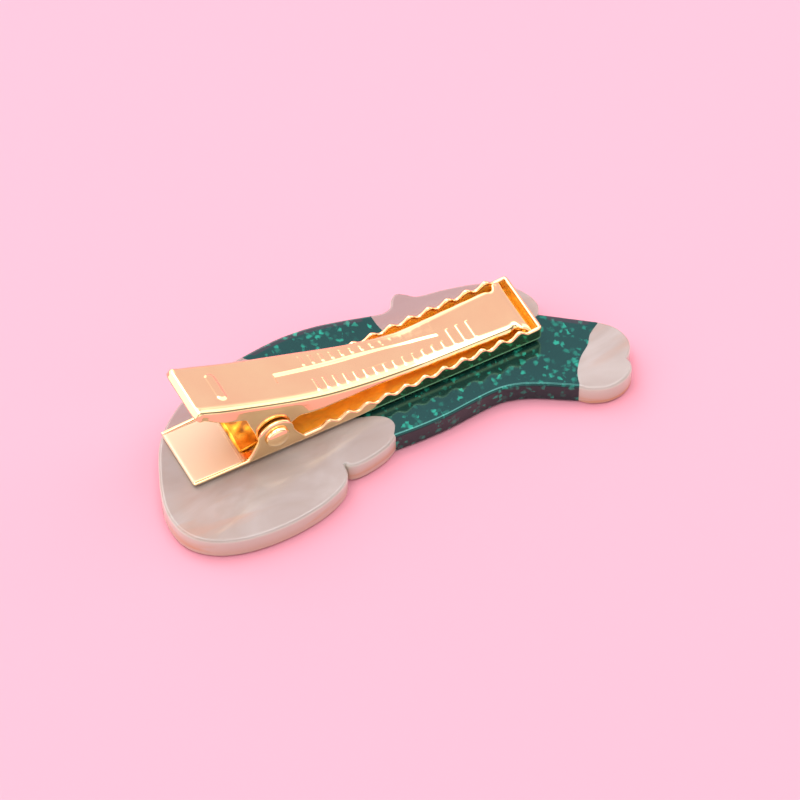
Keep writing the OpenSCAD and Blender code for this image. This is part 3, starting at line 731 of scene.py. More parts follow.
def lever_half_width(size, x):
    """Half the lever's width: eased from pin to waist, wider at the neck, notched and flared at the nose.

    The notch is a bell, depth * exp(-((x - middle) / spread) ^ 2), and the flare a smooth step.
    """
    notch_depth, notch_setback, notch_spread = 0.5 * MM, 0.55 * MM, 0.4 * MM
    flare_setback, flare_length = 0.35 * MM, 0.6 * MM
    nose_rear = size.nose_front - NOSE_LENGTH
    waist = ease((x - EAR) / (size.lever_flat_start - EAR))
    neck = np.clip((x - size.lever_flat_start) / (nose_rear - size.lever_flat_start), 0, 1)
    body = mix(mix(size.lever_width, size.waist_width, waist), size.neck_width, neck)
    notch = notch_depth * np.exp(-((x - nose_rear + notch_setback) / notch_spread) ** 2)
    flare = ease((x - nose_rear + flare_setback) / flare_length)
    return mix(body - notch, size.nose_width, flare) / 2


def flange_depth(size, x):
    """Depth of the flange in front of the pin: rolled edge + deepening * (way to the flat start) ^ taper."""
    rolled_edge, deepening = 0.85 * MM, 2.35 * MM
    share = np.clip((size.lever_flat_start - x) / (size.lever_flat_start - EAR), 0, 1)
    return rolled_edge + deepening * share ** TAPER


def channel_half_width(size, x):
    """Half the channel's width: widening evenly to its middle, then closing by 1 - s^2.2 to a point."""
    closing, least = 2.2, 0.1 * MM
    s = np.clip(2 * (x - size.channel_start) / size.channel_length - 1, -1, 1)
    rear = mix(size.channel_width, size.channel_rear_width, np.clip(-s, 0, 1))
    front = size.channel_width * (1 - np.clip(s, 0, 1) ** closing)
    return np.maximum(np.where(s < 0, rear, front), least) / 2


def channel_and_ledge(size, x, y):
    """Shares of the sunk channel and of the ledge beyond its far wall, into which it fades towards the front.

    Both are products of smooth steps. The channel's near wall is crisp and its far wall soft.
    """
    fade_start, fade_length, ledge_width = 11 * MM, 6 * MM, 1.8 * MM
    toward_front = ease((x - fade_start) / fade_length)
    wall = channel_half_width(size, x)
    soft = np.where(y < 0, NEAR_SOFT, FAR_SOFT)
    rear_end = ease((x - size.channel_start) / CHANNEL_SOFT_END)
    front_end = ease((size.channel_start + size.channel_length - x) / CHANNEL_SOFT_END)
    channel = ease((wall - np.abs(y)) / soft + 0.5) * rear_end * (1 - toward_front)
    past_wall = ease((y - wall) / FAR_SOFT + 0.5) * ease(1 - (y - wall) / ledge_width)
    return channel, past_wall * front_end * toward_front


def rib_ladder(size, x, y):
    """Share of the cross ribs on both sides of the channel, the last few of which run on across the middle.

    A rib is a crest, ease(1.15 - distance / half width), that eases off at both its ends. The ribs get lower
    towards the front, and on the far side they are lower and end more softly.
    """
    count, long_count = 17, 3
    rib_half, crown, least_gap, long_end = 0.28 * MM, 1.15, 0.85 * MM, 0.3 * MM
    fall_start, fall_length = 14 * MM, 7 * MM
    near = y < 0
    rung = np.clip(np.round((x - size.rib_start) / size.rib_pitch), 0, count - 1)
    middle = size.rib_start + rung * size.rib_pitch
    is_long = rung >= count - long_count
    outer_end = lever_half_width(size, middle) - size.fold_radius
    inner_end = np.maximum(channel_half_width(size, middle) + np.where(near, 0, FAR_SOFT / 2), least_gap)
    past_middle = np.where(y < long_end, long_end + rib_half - y, 0)
    from_inner = np.where(is_long, past_middle, np.abs(y) - inner_end)
    inner_soft = np.where(near, 0.28 * MM, 0.4 * MM)
    outer_soft = np.where(near, 0.4 * MM, 0.7 * MM)
    ends = ease(from_inner / inner_soft) * ease((outer_end - np.abs(y)) / outer_soft)
    high = np.where(near, 0.62, 0.54)
    low = np.where(is_long | near, 0.22, 0.1)
    rise = mix(high, low, ease((x - fall_start) / fall_length))
    return rise * ends * ease(crown - np.abs(x - middle) / rib_half)


def oval_boss(x, y):
    """Share of the oval boss behind the pin: within a border round a short straight line across the lever."""
    middle, half_line, border, soft = -5.5 * MM, 1.4 * MM, 0.75 * MM, 0.4 * MM
    away = np.hypot(x - middle, y - np.clip(y, -half_line, half_line))
    return ease((border - away) / soft)


def rolled_edges(size, x, y):
    """Drop of the lever's long edges: 0.1 * width * share^2 over a width that narrows towards the nose."""
    near_width, far_width, narrowing, steepness = 0.85 * MM, 0.5 * MM, 0.8, 0.1
    narrow_start, narrow_length = 18 * MM, 13 * MM
    narrowed = 1 - narrowing * ease((x - narrow_start) / narrow_length)
    width = np.where(y < 0, near_width, far_width) * narrowed
    from_edge = lever_half_width(size, x) - size.fold_radius - np.abs(y)
    return steepness * width * np.clip(1 - from_edge / width, 0, 1) ** 2


def lever_relief(size, x, y):
    """Height of the pressed pattern: ribs, boss and ledge above the sheet, channel and rolled edges below."""
    ledge_height = 0.5
    channel, ledge = channel_and_ledge(size, x, y)
    raised = np.maximum(rib_ladder(size, x, y), oval_boss(x, y)) + ledge_height * ledge
    return size.rib_height * raised - size.channel_depth * channel - rolled_edges(size, x, y)


def lever_side_rim(size):
    """The near side's lower rim as x and height, from rear to nose, and the bend line's x at each point.

    Behind the pin the flange deepens with the square root of the way from the rear. The ear is a half circle
    below the pin, joined by straight sides, and the flange in front of it falls away to the rolled edge.
    """
    rear_foot, front_foot = -3.5 * MM, 3.3 * MM
    rear_setback, nose_setback = 0.95 * MM, 0.85 * MM
    rear_depth, foot_depth = 1.2 * MM, 2.3 * MM
    round_ear, reach = slice(40, 160), 3

    rear_x = np.linspace(rear_setback - size.lever_rear, rear_foot, 60)
    deeper = np.sqrt((rear_x + size.lever_rear) / (size.lever_rear + rear_foot))
    rear_z = lever_top(size, rear_x) - mix(rear_depth, foot_depth, deeper)
    stops = [front_foot, 6 * MM, 27.6 * MM, 31.2 * MM, size.nose_front - nose_setback]
    counts = [24, 272, 20, 30]
    spans = [np.linspace(start, end, count)[1:] for start, end, count in zip(stops, stops[1:], counts)]
    front_x = np.concatenate([[front_foot], *spans])
    front_z = lever_top(size, front_x) - flange_depth(size, front_x)

    arc = np.linspace(math.pi, 2 * math.pi, 33)
    arc_x, arc_z = EAR * np.cos(arc), pin_level(size) + EAR * np.sin(arc)
    slant = np.linspace(0, 1, 13)[:-1]
    ear_x = np.concatenate([mix(rear_x[-1], arc_x[0], slant), arc_x, mix(front_x[0], arc_x[-1], slant)[::-1]])
    ear_z = np.concatenate([mix(rear_z[-1], arc_z[0], slant), arc_z, mix(front_z[0], arc_z[-1], slant)[::-1]])
    ear_base = mix(rear_foot, front_foot, walked(ear_x, ear_z))
    x = np.concatenate([rear_x, ear_x[1:-1], front_x])
    z = np.concatenate([rear_z, ear_z[1:-1], front_z])
    base = np.concatenate([rear_x, ear_base[1:-1], front_x])
    x[round_ear] = smoothed(x, reach)[round_ear]
    z[round_ear] = smoothed(z, reach)[round_ear]
    return x, z, base


def over_end(start, step, straight, count):
    """Places along the bend line over one end of the lever: a corner, a straight part and another corner."""
    corner = step * np.arange(1, CORNER_STATIONS + 1)
    middle = corner[-1] + np.linspace(0, straight, count)[1:]
    return start + np.concatenate([corner, middle, middle[-1] + corner[:-1]])


def toward_middle(count):
    """A share for each of a row of points that eases from either end of the row to 1 past its corners."""
    order = np.arange(1, count + 1)
    return ease(np.minimum(order, order[::-1]) / CORNER_STATIONS)


def flat_rows(size, base_x, base_y, spine):
    """How far out each row of the lever's flat part lies, with the rows crowded over the channel's wall."""
    least_share, most_share, span_share, most_span = 0.14, 0.75, 0.6, 0.12
    flat_half = lever_half_width(size, np.clip(base_x, *spine)) - size.fold_radius
    wall = np.clip(channel_half_width(size, base_x) / flat_half, least_share, most_share)
    span = np.minimum(span_share * np.where(base_y < 0, NEAR_SOFT, FAR_SOFT) / flat_half, most_span)
    return np.concatenate([
        np.linspace(0, 1, 5)[:-1, None] * (wall - span),
        wall + np.linspace(-1, 1, 9)[:, None] * span,
        mix(wall + span, 1.0, np.linspace(0, 1, 17)[1:, None])])


class CLIP_OT_lever(bpy.types.Operator):
    """Adds the lever: a bowed channel with ears for the pin, a cross-shaped nose and a pressed pattern"""

    bl_idname = "hair_clip.lever"
    bl_label = "Lever"

    def execute(self, context):
        size = sizes()
        half = size.sheet / 2
        radius = size.fold_radius - half
        top_drop, nose_clearance, spine_setback = 0.01 * MM, 0.04 * MM, 0.3 * MM
        arm_setback, arm_fade = 0.3 * MM, 0.4 * MM
        rear_fade, lean_start, lean_fade = 2 * MM, 2.3 * MM, 4.5 * MM
        side_x, side_z, side_base = lever_side_rim(size)
        rear, front = side_x[0], side_x[-1]

        # the bend line, all the way round: near side, nose, far side and rear, with corners between them
        line_x = np.linspace(rear, front, SIDE_STATIONS)
        line_y = lever_half_width(size, line_x) - size.fold_radius
        quarter = np.linspace(0, math.pi / 2, CORNER_STATIONS + 1)[1:]
        sin, cos = np.sin(quarter), np.cos(quarter)
        front_round = size.nose_front - size.fold_radius - front
        rear_round = rear + size.lever_rear - size.fold_radius - REAR_SETBACK
        nose_y = line_y[-1] - front_round
        rear_y = line_y[0] - rear_round
        x = np.concatenate([
            line_x,
            front + front_round * sin, [front + front_round], front + front_round * cos,
            line_x[::-1][1:],
            rear - rear_round * sin, [rear - rear_round], rear - rear_round * cos])
        y = np.concatenate([
            -line_y,
            -nose_y - front_round * cos, [nose_y], nose_y + front_round * sin,
            line_y[::-1][1:],
            rear_y + rear_round * cos, [-rear_y], -rear_y - rear_round * sin])
        angle = np.concatenate([
            np.full(SIDE_STATIONS, -math.pi / 2),
            quarter - math.pi / 2, [0.0], quarter,
            np.full(SIDE_STATIONS - 1, math.pi / 2),
            quarter + math.pi / 2, [math.pi], quarter + math.pi])
        nose_corner = np.full(CORNER_STATIONS, NOSE_CORNER_STEP)
        rear_corner = np.full(CORNER_STATIONS, REAR_CORNER_STEP)
        steps = np.concatenate([
            [0.0], np.diff(line_x),
            nose_corner, [2 * nose_y], nose_corner,
            np.diff(line_x),
            rear_corner, [2 * rear_y], rear_corner])
        run = rear + np.cumsum(steps)

        # share of the bend: the flanges lean out away from the ears, the nose's arms are nearly flat, and the
        # rear flange is turned only part of the way
        nose_rear = size.nose_front - NOSE_LENGTH
        arm = ease((line_x - nose_rear + arm_setback) / arm_fade)
        lean = ease((line_x - rear) / rear_fade) * ease((np.abs(line_x) - lean_start) / lean_fade)
        side_bend = mix(1 - FLANGE_LEAN * lean, ARM_BEND, arm)
        turned = np.linspace(0, 1, CORNER_STATIONS + 1)[1:]
        bend = np.concatenate([
            side_bend,
            mix(side_bend[-1], 1.0, turned), [1.0], mix(1.0, side_bend[-1], turned),
            side_bend[::-1][1:],
            mix(side_bend[0], REAR_BEND, turned), [REAR_BEND], mix(REAR_BEND, side_bend[0], turned)])
        path = {"run": run, "x": x, "y": y, "angle": angle, "bend": bend}

        def level(px):
            """Height of the middle of the sheet, a hair lower than half a sheet below the lever's top."""
            return lever_top(size, px) - half - top_drop

        # rim: near side, nose, far side and rear
        nose_run = over_end(run[SIDE_STATIONS - 1], NOSE_CORNER_STEP, 2 * nose_y, NOSE_STATIONS)
        far_start = run[SIDE_STATIONS + 2 * CORNER_STATIONS]
        rear_run = over_end(far_start + front - rear, REAR_CORNER_STEP, 2 * rear_y, REAR_STATIONS)
        side_length = length_of_fall(level(side_x) - side_z, radius)
        side_length = mix(side_length, size.fold_radius, np.interp(side_x, line_x, arm))
        nose_fall = np.array(size.lever_front_height - half - size.sheet - nose_clearance)
        nose_flange = length_of_fall(nose_fall, radius)
        nose_length = mix(side_length[-1], nose_flange, toward_middle(len(nose_run)))
        rear_length = mix(side_length[0], REAR_FLANGE, toward_middle(len(rear_run)))
        far_end = far_start + front
        rim_run = np.concatenate([side_x, nose_run, far_end - side_x[::-1], rear_run])
        base_run = np.concatenate([side_base, nose_run, far_end - side_base[::-1], rear_run])
        rim_length = np.concatenate([side_length, nose_length, side_length[::-1], rear_length])

        spine = (rear + spine_setback, front - spine_setback)
        flat_shares = flat_rows(size, np.interp(base_run, run, x), np.interp(base_run, run, y), spine)
        vertices, faces, on_skin = pressed_sheet(
            path, base_run, rim_run, rim_length, spine, level, lambda px: lever_slope(size, px), -1, radius,
            half, lambda px, py: lever_relief(size, px, py), flat_shares, None)
        lower_skin = np.concatenate([0 * on_skin, on_skin])
        # The lever's underside gets the deeper orange: painted light bounced between the gold faces
        inside = lower_skin * ease((vertices[:, 0] - UNDERSIDE_START) / FADE)
        add_piece("lever_channel", vertices, faces, gold_plating(), LEVER_ARM, "lever",
                  {"inside": inside})
        return {"FINISHED"}


# Rivet, spring and glue

class CLIP_OT_hinge_rivet(bpy.types.Operator):
    """Adds the hinge rivet: a pin with a domed head at each end"""

    bl_idname = "hair_clip.hinge_rivet"
    bl_label = "Hinge rivet"

    def execute(self, context):
        """A profile of radius and place along Y, turned round the pin: dome, round rim, shank and mirror."""
        size = sizes()
        head, pin = size.head_diameter / 2, size.pin_diameter / 2
        seat, top = size.jaw_width / 2, size.jaw_width / 2 + size.head_height
        rim_radius, dome_setback, dome_height, segments = 0.18 * MM, 0.08 * MM, 0.45 * MM, 72
        over = np.linspace(0, math.pi / 2, 17)
        dome_r = (head - dome_setback) * np.sin(over)
        dome_y = mix(top - dome_height, top, np.cos(over))
        turn = np.linspace(0, math.pi / 2, 6)
        rim_r = head - rim_radius * (1 - np.cos(turn))
        rim_y = seat + rim_radius * (1 - np.sin(turn))
        r = np.concatenate([dome_r, rim_r, [pin]])
        y = np.concatenate([dome_y, rim_y, [seat]])
        r = np.concatenate([r, r[::-1]])[:, None]
        y = np.concatenate([y, -y[::-1]])[:, None]
        around = np.linspace(0, 2 * math.pi, segments + 1)[None, :-1]
        z = pin_level(size) + r * np.sin(around)
        vertices = np.stack([r * np.cos(around), y + 0 * around, z], axis=-1)
        faces = grid_faces(len(r), segments, True).tolist()
        add_piece("hinge_rivet_pin", vertices, faces, gold_plating(), BASE, "hinge_rivet")
        return {"FINISHED"}


class CLIP_OT_leaf_spring(bpy.types.Operator):
    """Adds the leaf spring: a strip curled round the pin, one leg on the floor and one under the lever"""

    bl_idname = "hair_clip.leaf_spring"
    bl_label = "Leaf spring"

    def execute(self, context):
        """A rounded strip section carried along the line lower leg, curl, upper leg in the X and Z plane.

        Each leg touches the curl, and the lower one sags by a half wave of sine.
        """
        size = sizes()
        pin = pin_level(size)
        half = size.spring_thickness / 2
        pin_gap, leg_gap, sag_depth, end_width = 0.3 * MM, 0.05 * MM, 0.35 * MM, 0.98
        lower_x, upper_x = -4 * MM, -6 * MM
        curl = size.pin_diameter / 2 + pin_gap + half
        floor = jaw_level(size) + size.sheet
        lower = np.array([lower_x, floor + leg_gap + half - pin])
        upper = np.array([upper_x, lever_top(size, upper_x) - 2 * size.sheet - leg_gap - pin])
        lower_turn = math.atan2(lower[1], lower[0]) + math.acos(curl / np.linalg.norm(lower))
        upper_turn = math.atan2(upper[1], upper[0]) - math.acos(curl / np.linalg.norm(upper))
        turn = np.linspace(lower_turn, upper_turn, 49)
        arc = curl * np.stack([np.cos(turn), np.sin(turn)], axis=-1)
        share = np.linspace(0, 1, 25)[:-1, None]
        sag = np.concatenate([0 * share, -sag_depth * np.sin(math.pi * share)], axis=1)
        line = np.concatenate([mix(lower, arc[0], share) + sag, arc, mix(upper, arc[-1], share)[::-1]])
        along = np.gradient(line, axis=0)
        along /= np.linalg.norm(along, axis=1, keepdims=True)
        out = np.stack([along[:, 1], -along[:, 0]], axis=-1)

        # section: a flat strip with half-round edges, shrunk to its middle line at both ends
        round_turn = np.linspace(-math.pi / 2, math.pi / 2, 9)
        edge = size.spring_width / 2 - half
        section_y = np.concatenate([edge + half * np.cos(round_turn), -edge - half * np.cos(round_turn)])
        section_t = np.concatenate([half * np.sin(round_turn), -half * np.sin(round_turn)])
        order = np.arange(len(line))
        inner = np.clip(np.minimum(order, order[::-1]), 0, 1)[:, None]
        y = section_y * mix(end_width, 1.0, inner)
        thick = section_t * inner
        x = line[:, :1] + out[:, :1] * thick
        z = pin + line[:, 1:] + out[:, 1:] * thick
        vertices = np.stack([x, y, z], axis=-1)
        faces = grid_faces(len(line), len(section_y), True)[:, ::-1].tolist()
        spring = add_piece("leaf_spring_strip", vertices, faces, spring_gold(), None, "leaf_spring")
        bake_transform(spring)
        return {"FINISHED"}


class CLIP_OT_glue_film(bpy.types.Operator):
    """Adds the glue film: a thin pad with an uneven, rounded edge under the jaw"""

    bl_idname = "hair_clip.glue_film"
    bl_label = "Glue film"

    def execute(self, context):
        """A rounded edge section carried round a squared ellipse that wavers by a product of two cosines."""
        size = sizes()
        inset, power, depth, long_share = 0.5 * MM, 0.12, 0.02, 0.15
        long = (size.jaw_front + size.jaw_rear) / 2 - inset
        wide = size.jaw_width / 2 - inset
        middle = (size.jaw_front - size.jaw_rear) / 2
        half = size.glue / 2
        around = np.linspace(0, 2 * math.pi, 361)[:-1]
        x = long * np.sign(np.cos(around)) * np.abs(np.cos(around)) ** power
        y = wide * np.sign(np.sin(around)) * np.abs(np.sin(around)) ** power
        waver = 1 - depth * (1 + np.cos(23 * around) * np.cos(7 * around))
        turn = np.linspace(math.pi / 2, -math.pi / 2, 9)[:, None]
        draw = half * (1 - np.cos(turn))
        ring_x = middle + x * (1 - draw / long) * mix(1, waver, long_share)
        ring_y = y * waver * (1 - draw / wide)
        ring_z = size.plate_thickness + half * (1 + np.sin(turn)) + 0 * around
        vertices = np.stack([ring_x, ring_y, ring_z], axis=-1)
        faces = capped_faces(len(turn), len(around))
        add_piece("glue_pad", vertices, faces, cured_glue(), BASE, "glue_film")
        return {"FINISHED"}


# Acetate plate

STEPS = 12
PANEL_GAP = 0.02 * MM
SEAM_FOLLOW = 2 * MM
FAR_BAND = 0.5 * MM
BAND_END = 1.5 * MM
FAR_EDGE_FROM = -5.5 * MM
NOTCH = (6.2, -9.2)
EDGES = {
    "tab": [NOTCH, (6.6, -9.75), (7.6, -10.05), (9.4, -9.95), (11.4, -9.5), (12.5, -9), (13.2, -8.55)],
    "near": [(13.2, -8.55), (16.5, -8.75), (20, -8.75), (23.5, -8.45), (26.5, -8.3), (28.7, -8.65),
             (31.3, -9.8), (35.3, -12.3)],
    "end": [(35.3, -12.3), (36.4, -13.3), (38.4, -14.05), (40.4, -13.9), (41.9, -13), (42.45, -11.9),
            (42.4, -11.15), (43.2, -10.4), (43.85, -9.1), (43.8, -7.6), (43.2, -6.2), (42, -4.9)],
    "end_far": [(42, -4.9), (36.4, -0.6)],
    "upper": [(36.4, -0.6), (37.1, 0.6), (36.9, 2.4), (35.6, 4.6), (33.6, 6.2), (31.2, 7.2), (28, 8),
              (25.2, 8.5), (24.1, 9.4), (23.1, 10), (22.2, 9.5), (21.5, 8.5), (20.4, 8.2), (19, 8.5)],
    "far": [(19, 8.5), (15.2, 9.6), (11.5, 10.4), (7.5, 10.65), (2.9, 10.25)],
    "bulb": [(2.9, 10.25), (-1.5, 9.7), (-6.3, 7.7), (-10.6, 4.3), (-13.2, -0.3), (-14.8, -5), (-14.6, -8.8),
             (-12.6, -11.5), (-9, -13.2), (-4, -13.8), (1, -13.3), (4.4, -12.1), (5.8, -10.8), NOTCH],
}
SEAMS = {
    "bulb": [NOTCH, (6.4, -6.2), (6.4, -2.5), (5.8, 3), (4.6, 7.2), (2.9, 10.25)],
    "tab": [(13.2, -8.55), (13.9, -7), (13.6, -5.7), (12.2, -4.7), (9.6, -3.8), (6.4, -2.5)],
    "end": [(42, -4.9), (40.2, -6.2), (39.2, -7.4), (37.6, -8.6), (36.4, -10), (35.7, -11.3), (35.3, -12.3)],
    "upper": [(19, 8.5), (19.2, 5.5), (21.5, 1.8), (26.5, -0.8), (32, -1.4), (36.4, -0.6)],
}


def spline(points):
    """A Catmull-Rom curve through points in millimetres, as metres, without its last point."""
    p = np.asarray(points, float) * MM
    held = np.concatenate([p[:1], p, p[-1:]])
    p0, p1, p2, p3 = (held[i:len(held) - 3 + i, None, :] for i in range(4))
    t = (np.arange(STEPS) / STEPS)[None, :, None]
    curve = 0.5 * (2 * p1 + (p2 - p0) * t + (2 * p0 - 5 * p1 + 4 * p2 - p3) * t ** 2
                   + (3 * p1 - p0 - 3 * p2 + p3) * t ** 3)
    return curve.reshape(-1, 2)


def outline_edges(margin, band=0):
    """Every outer edge of the plate, drawn in by a margin along the outline's own normals, ends included.

    A band draws each edge in further, by a share that eases up from nothing at the edge's two ends.
    """
    ring = np.concatenate([spline(points) for points in EDGES.values()])
    along = np.roll(ring, -1, axis=0) - np.roll(ring, 1, axis=0)
    inward = np.stack([-along[:, 1], along[:, 0]], axis=-1) / np.linalg.norm(along, axis=1, keepdims=True)
    ring = ring + margin * inward
    ring, inward = (np.concatenate([values, values[:1]]) for values in (ring, inward))
    edges, start = {}, 0
    for name, points in EDGES.items():
        end = start + STEPS * (len(points) - 1)
        edge = ring[start:end + 1]
        to_start, to_end = (np.linalg.norm(edge - edge[i], axis=1, keepdims=True) for i in (0, -1))
        edges[name] = edge + band * ease(np.minimum(to_start, to_end) / BAND_END) * inward[start:end + 1]
        start = end
    return edges


def seam(name, first, last, edges):
    """The points of a seam between two of its own points, without the ends.

    Where the outer edge is drawn in, the seam's end goes with it, and its points follow by a share that falls
    evenly to nothing over the first few millimetres.
    """
    line = np.concatenate([spline(SEAMS[name]), np.array(SEAMS[name][-1:]) * MM])
    corners = np.concatenate([edge[[0, -1]] for edge in edges.values()])
    moved = line.copy()
    for end in (0, -1):
        gap = corners - line[end]
        nearest = gap[np.argmin(np.linalg.norm(gap, axis=1))]
        if np.linalg.norm(nearest) < MM:
            away = np.linalg.norm(line - line[end], axis=1, keepdims=True)
            moved += nearest * np.clip(1 - away / SEAM_FOLLOW, 0, 1)
    return moved[first * STEPS + 1:last * STEPS]


def seam_meeting():
    """Where the tab's seam meets the bulb's seam."""
    return np.array([SEAMS["bulb"][2]]) * MM


PANELS = {
    "grey_bulb": lambda e: [e["bulb"], seam("bulb", 0, 5, e)],
    "grey_tab": lambda e: [e["tab"], seam("tab", 0, 5, e), seam_meeting(), seam("bulb", 0, 2, e)[::-1]],
    "grey_end": lambda e: [e["end"], seam("end", 0, 6, e)],
    "grey_upper": lambda e: [e["upper"], seam("upper", 0, 5, e)],
    "green_body": lambda e: [
        e["near"], seam("end", 0, 6, e)[::-1], e["end_far"], seam("upper", 0, 5, e)[::-1], e["far"],
        seam("bulb", 2, 5, e)[::-1], seam_meeting(), seam("tab", 0, 5, e)[::-1]],
}


def add_panel(name, material, band=0):
    """One inlay: rings at falling heights, whose outer edges follow a quarter circle over and under.

    A band adds one more ring on the top face, and marks what lies outside it on the far side,
    where the rounded far edge's look is spread onto the flat top as a painted reflection.
    """
    moved_share, flat_weight = 0.8, 80
    size = sizes()
    radius, thickness = size.edge_radius, size.plate_thickness
    turn = np.linspace(0, math.pi / 2, 9)
    draws = PANEL_GAP + radius * (1 - np.sin(turn))
    heights = thickness - radius * (1 - np.cos(turn))
    rings = [np.concatenate(PANELS[name](outline_edges(draw))) for draw in draws]
    rings = rings + rings[::-1]
    heights = np.concatenate([heights, thickness - heights[::-1]])
    shares = None
    if band:
        rings = [np.concatenate(PANELS[name](outline_edges(PANEL_GAP + radius, band)))] + rings
        heights = np.concatenate([[thickness], heights])
    flat = np.stack(rings)
    tall = np.broadcast_to(heights[:, None, None], (*flat.shape[:2], 1))
    vertices = np.concatenate([flat, tall], axis=-1)
    if band:
        moved = np.linalg.norm(flat[0] - flat[1], axis=-1) > moved_share * band
        below = np.arange(len(rings))[:, None] > 0
        far_edge = below & moved & (flat[..., 1] > FAR_EDGE_FROM)
        shares = {"far_edge": far_edge.ravel().astype(float)}
    faces = capped_faces(len(rings), flat.shape[1])
    piece = add_piece(name + "_inlay", vertices, faces, material, BASE, name + "_panel", shares)
    even = piece.modifiers.new("flat_faces", "WEIGHTED_NORMAL")
    even.keep_sharp = True
    even.weight = flat_weight


class CLIP_OT_grey_inlays(bpy.types.Operator):
    """Adds the four grey inlays of the plate"""

    bl_idname = "hair_clip.grey_inlays"
    bl_label = "Grey inlays"

    def execute(self, context):
        for name in ("grey_bulb", "grey_tab", "grey_upper", "grey_end"):
            add_panel(name, grey_acetate())
        return {"FINISHED"}


class CLIP_OT_green_inlay(bpy.types.Operator):
    """Adds the green inlay of the plate"""

    bl_idname = "hair_clip.green_inlay"
    bl_label = "Green inlay"

    def execute(self, context):
        add_panel("green_body", green_acetate(), FAR_BAND)
        return {"FINISHED"}


# Stage

TARGET = Vector((0.016105, -0.004152, 0.003))
AZIMUTH = math.radians(-28.26)
ELEVATION = math.radians(53.02)
DISTANCE = 0.6
LENS = 233.4
SENSOR = 36
FLOOR_REACH = 3
FLOOR_DROP = 0.02 * MM
SKY_STRENGTH = 2.0
PANEL_GLOW = (2.54, 2.48, 2.42)
OPENING_GLOW = (0.45, 0.42, 0.43)


def add_camera(scene):
    """The camera at the photograph's viewing angle."""
    back = Vector((math.sin(AZIMUTH) * math.cos(ELEVATION), -math.cos(AZIMUTH) * math.cos(ELEVATION),
                   math.sin(ELEVATION)))
    data = bpy.data.cameras.new("camera")
    data.lens = LENS
    data.sensor_width = SENSOR
    data.clip_start = 0.01
    camera = bpy.data.objects.new("camera", data)
    camera.location = TARGET + back * DISTANCE
    camera.rotation_euler = back.to_track_quat("Z", "Y").to_euler()
    scene.collection.objects.link(camera)
    scene.camera = camera


def add_floor(scene):
    """A wide pale floor, faintly clouded, just below the plate."""
    material, tree, shader = material_tree("pale_floor")
    haze = noise(tree, scale=9, detail=2)
    pale = np.array(colours().floor)
    clouded = ramp(tree, haze, [(0.3, pale), (0.7, pale * 0.985)])
    set_sockets(tree, shader, {"Base Color": clouded, "Roughness": 0.9, "Specular IOR Level": 0.1})
    mesh = bpy.data.meshes.new("floor")
    corners = [(x * FLOOR_REACH, y * FLOOR_REACH, 0) for x, y in ((-1, -1), (1, -1), (1, 1), (-1, 1))]
    mesh.from_pydata(corners, [], [(0, 1, 2, 3)])
    mesh.materials.append(material)
    floor = bpy.data.objects.new("floor", mesh)
    floor.location.z = -FLOOR_DROP
    scene.collection.objects.link(floor)


def add_sky(scene):
    """A soft studio round the object, whose glow goes by the direction that is looked in.

    From front to back, by the direction's Y, it is half bright, then dim, then bright. A brighter panel hangs
    overhead, with an opening in its middle. Towards +X a rosy screen stands behind the object, wider in its
    nearer band than in the rest.
    """
    world = bpy.data.worlds.new("studio")
    world.use_nodes = True
    scene.world = world
    sky = world.node_tree
    direction = sky.nodes.new("ShaderNodeTexCoord").outputs["Generated"]
    right, back, up = (part_of(sky, direction, axis) for axis in "XYZ")
    depth = add_node(sky, "ShaderNodeMapRange", value=back, from_min=-1).outputs["Result"]
    glow = ramp(sky, depth, [(0.0, grey(0.65)), (0.12, grey(0.6)), (0.2, grey(0.12)), (0.3, grey(0.12)),
                             (0.37, (1.0, 0.98, 0.96))])
    glow = mixed(sky, rising(sky, up, 0.84, 0.93), glow, PANEL_GLOW)
    glow = mixed(sky, rising(sky, up, 0.975, 0.99), glow, OPENING_GLOW)
    screen = colours().screen
    near_band = ramp(sky, depth, [(0.64, grey(0)), (0.71, grey(1)), (0.82, grey(1)), (0.88, grey(0))])
    glow = mixed(sky, near_band, glow, mixed(sky, rising(sky, right, 0.02, 0.2), glow, screen))
    behind = rising(sky, depth, 0.64, 0.71)
    glow = mixed(sky, behind, glow, mixed(sky, rising(sky, right, 0.36, 0.52), glow, screen))
    set_sockets(sky, sky.nodes["Background"], {"Color": glow, "Strength": SKY_STRENGTH})


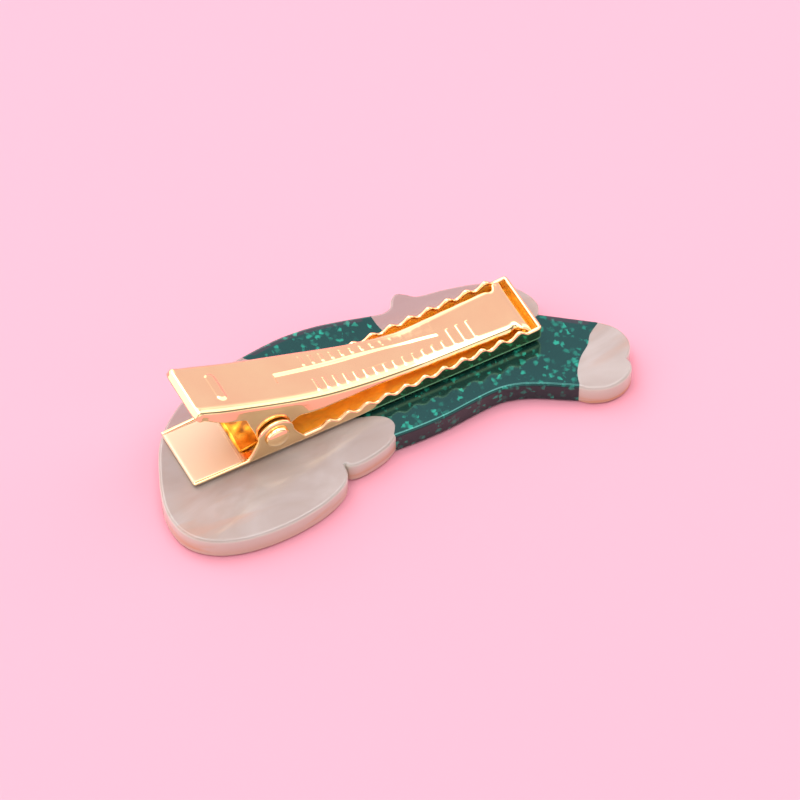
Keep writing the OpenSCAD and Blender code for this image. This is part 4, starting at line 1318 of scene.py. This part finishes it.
def add_softbox(scene, name, place, size, power):
    """A square area light that faces the middle of the view."""
    data = bpy.data.lights.new(name, "AREA")
    data.shape = "SQUARE"
    data.size = size
    data.energy = power
    data.color = colours().lamp
    lamp = bpy.data.objects.new(name, data)
    lamp.location = place
    lamp.rotation_euler = (Vector(place) - TARGET).to_track_quat("Z", "Y").to_euler()
    scene.collection.objects.link(lamp)


class CLIP_OT_stage(bpy.types.Operator):
    """Adds the pale floor, the soft light and the camera"""

    bl_idname = "hair_clip.stage"
    bl_label = "Stage"

    def execute(self, context):
        scene = context.scene
        add_camera(scene)
        add_floor(scene)
        add_sky(scene)
        add_softbox(scene, "back", place=(-0.12, 0.5, 0.55), size=0.35, power=1.2)
        scene.view_settings.view_transform = "Standard"
        return {"FINISHED"}


BUILD_ORDER = (CLIP_OT_stage, CLIP_OT_grey_inlays, CLIP_OT_green_inlay, CLIP_OT_glue_film, CLIP_OT_lower_jaw,
               CLIP_OT_hinge_rivet, CLIP_OT_leaf_spring, CLIP_OT_lever)


class CLIP_PT_pieces(bpy.types.Panel):
    """Lists the clip's pieces, sizes and colours"""

    bl_idname = "CLIP_PT_pieces"
    bl_label = "Hair clip"
    bl_space_type = "VIEW_3D"
    bl_region_type = "UI"
    bl_category = "Hair clip"

    def draw(self, context):
        for operator in BUILD_ORDER:
            self.layout.operator(operator.bl_idname)
        for group in (context.scene.clip_sizes, context.scene.clip_colours):
            for name in group.bl_rna.properties.keys():
                if name not in ("rna_type", "name"):
                    self.layout.prop(group, name)


CLASSES = (ClipSizes, ClipColours, *BUILD_ORDER, CLIP_PT_pieces)


def register():
    """Registers the classes and hangs the sizes and colours on the scene."""
    for cls in CLASSES:
        bpy.utils.register_class(cls)
    bpy.types.Scene.clip_sizes = bpy.props.PointerProperty(type=ClipSizes)
    bpy.types.Scene.clip_colours = bpy.props.PointerProperty(type=ClipColours)


def unregister():
    """Takes away what register added."""
    del bpy.types.Scene.clip_colours
    del bpy.types.Scene.clip_sizes
    for cls in reversed(CLASSES):
        bpy.utils.unregister_class(cls)


def main():
    """Builds every piece in order."""
    register()
    for operator in BUILD_ORDER:
        group, name = operator.bl_idname.split(".")
        getattr(getattr(bpy.ops, group), name)()


if __name__ == "__main__":
    main()
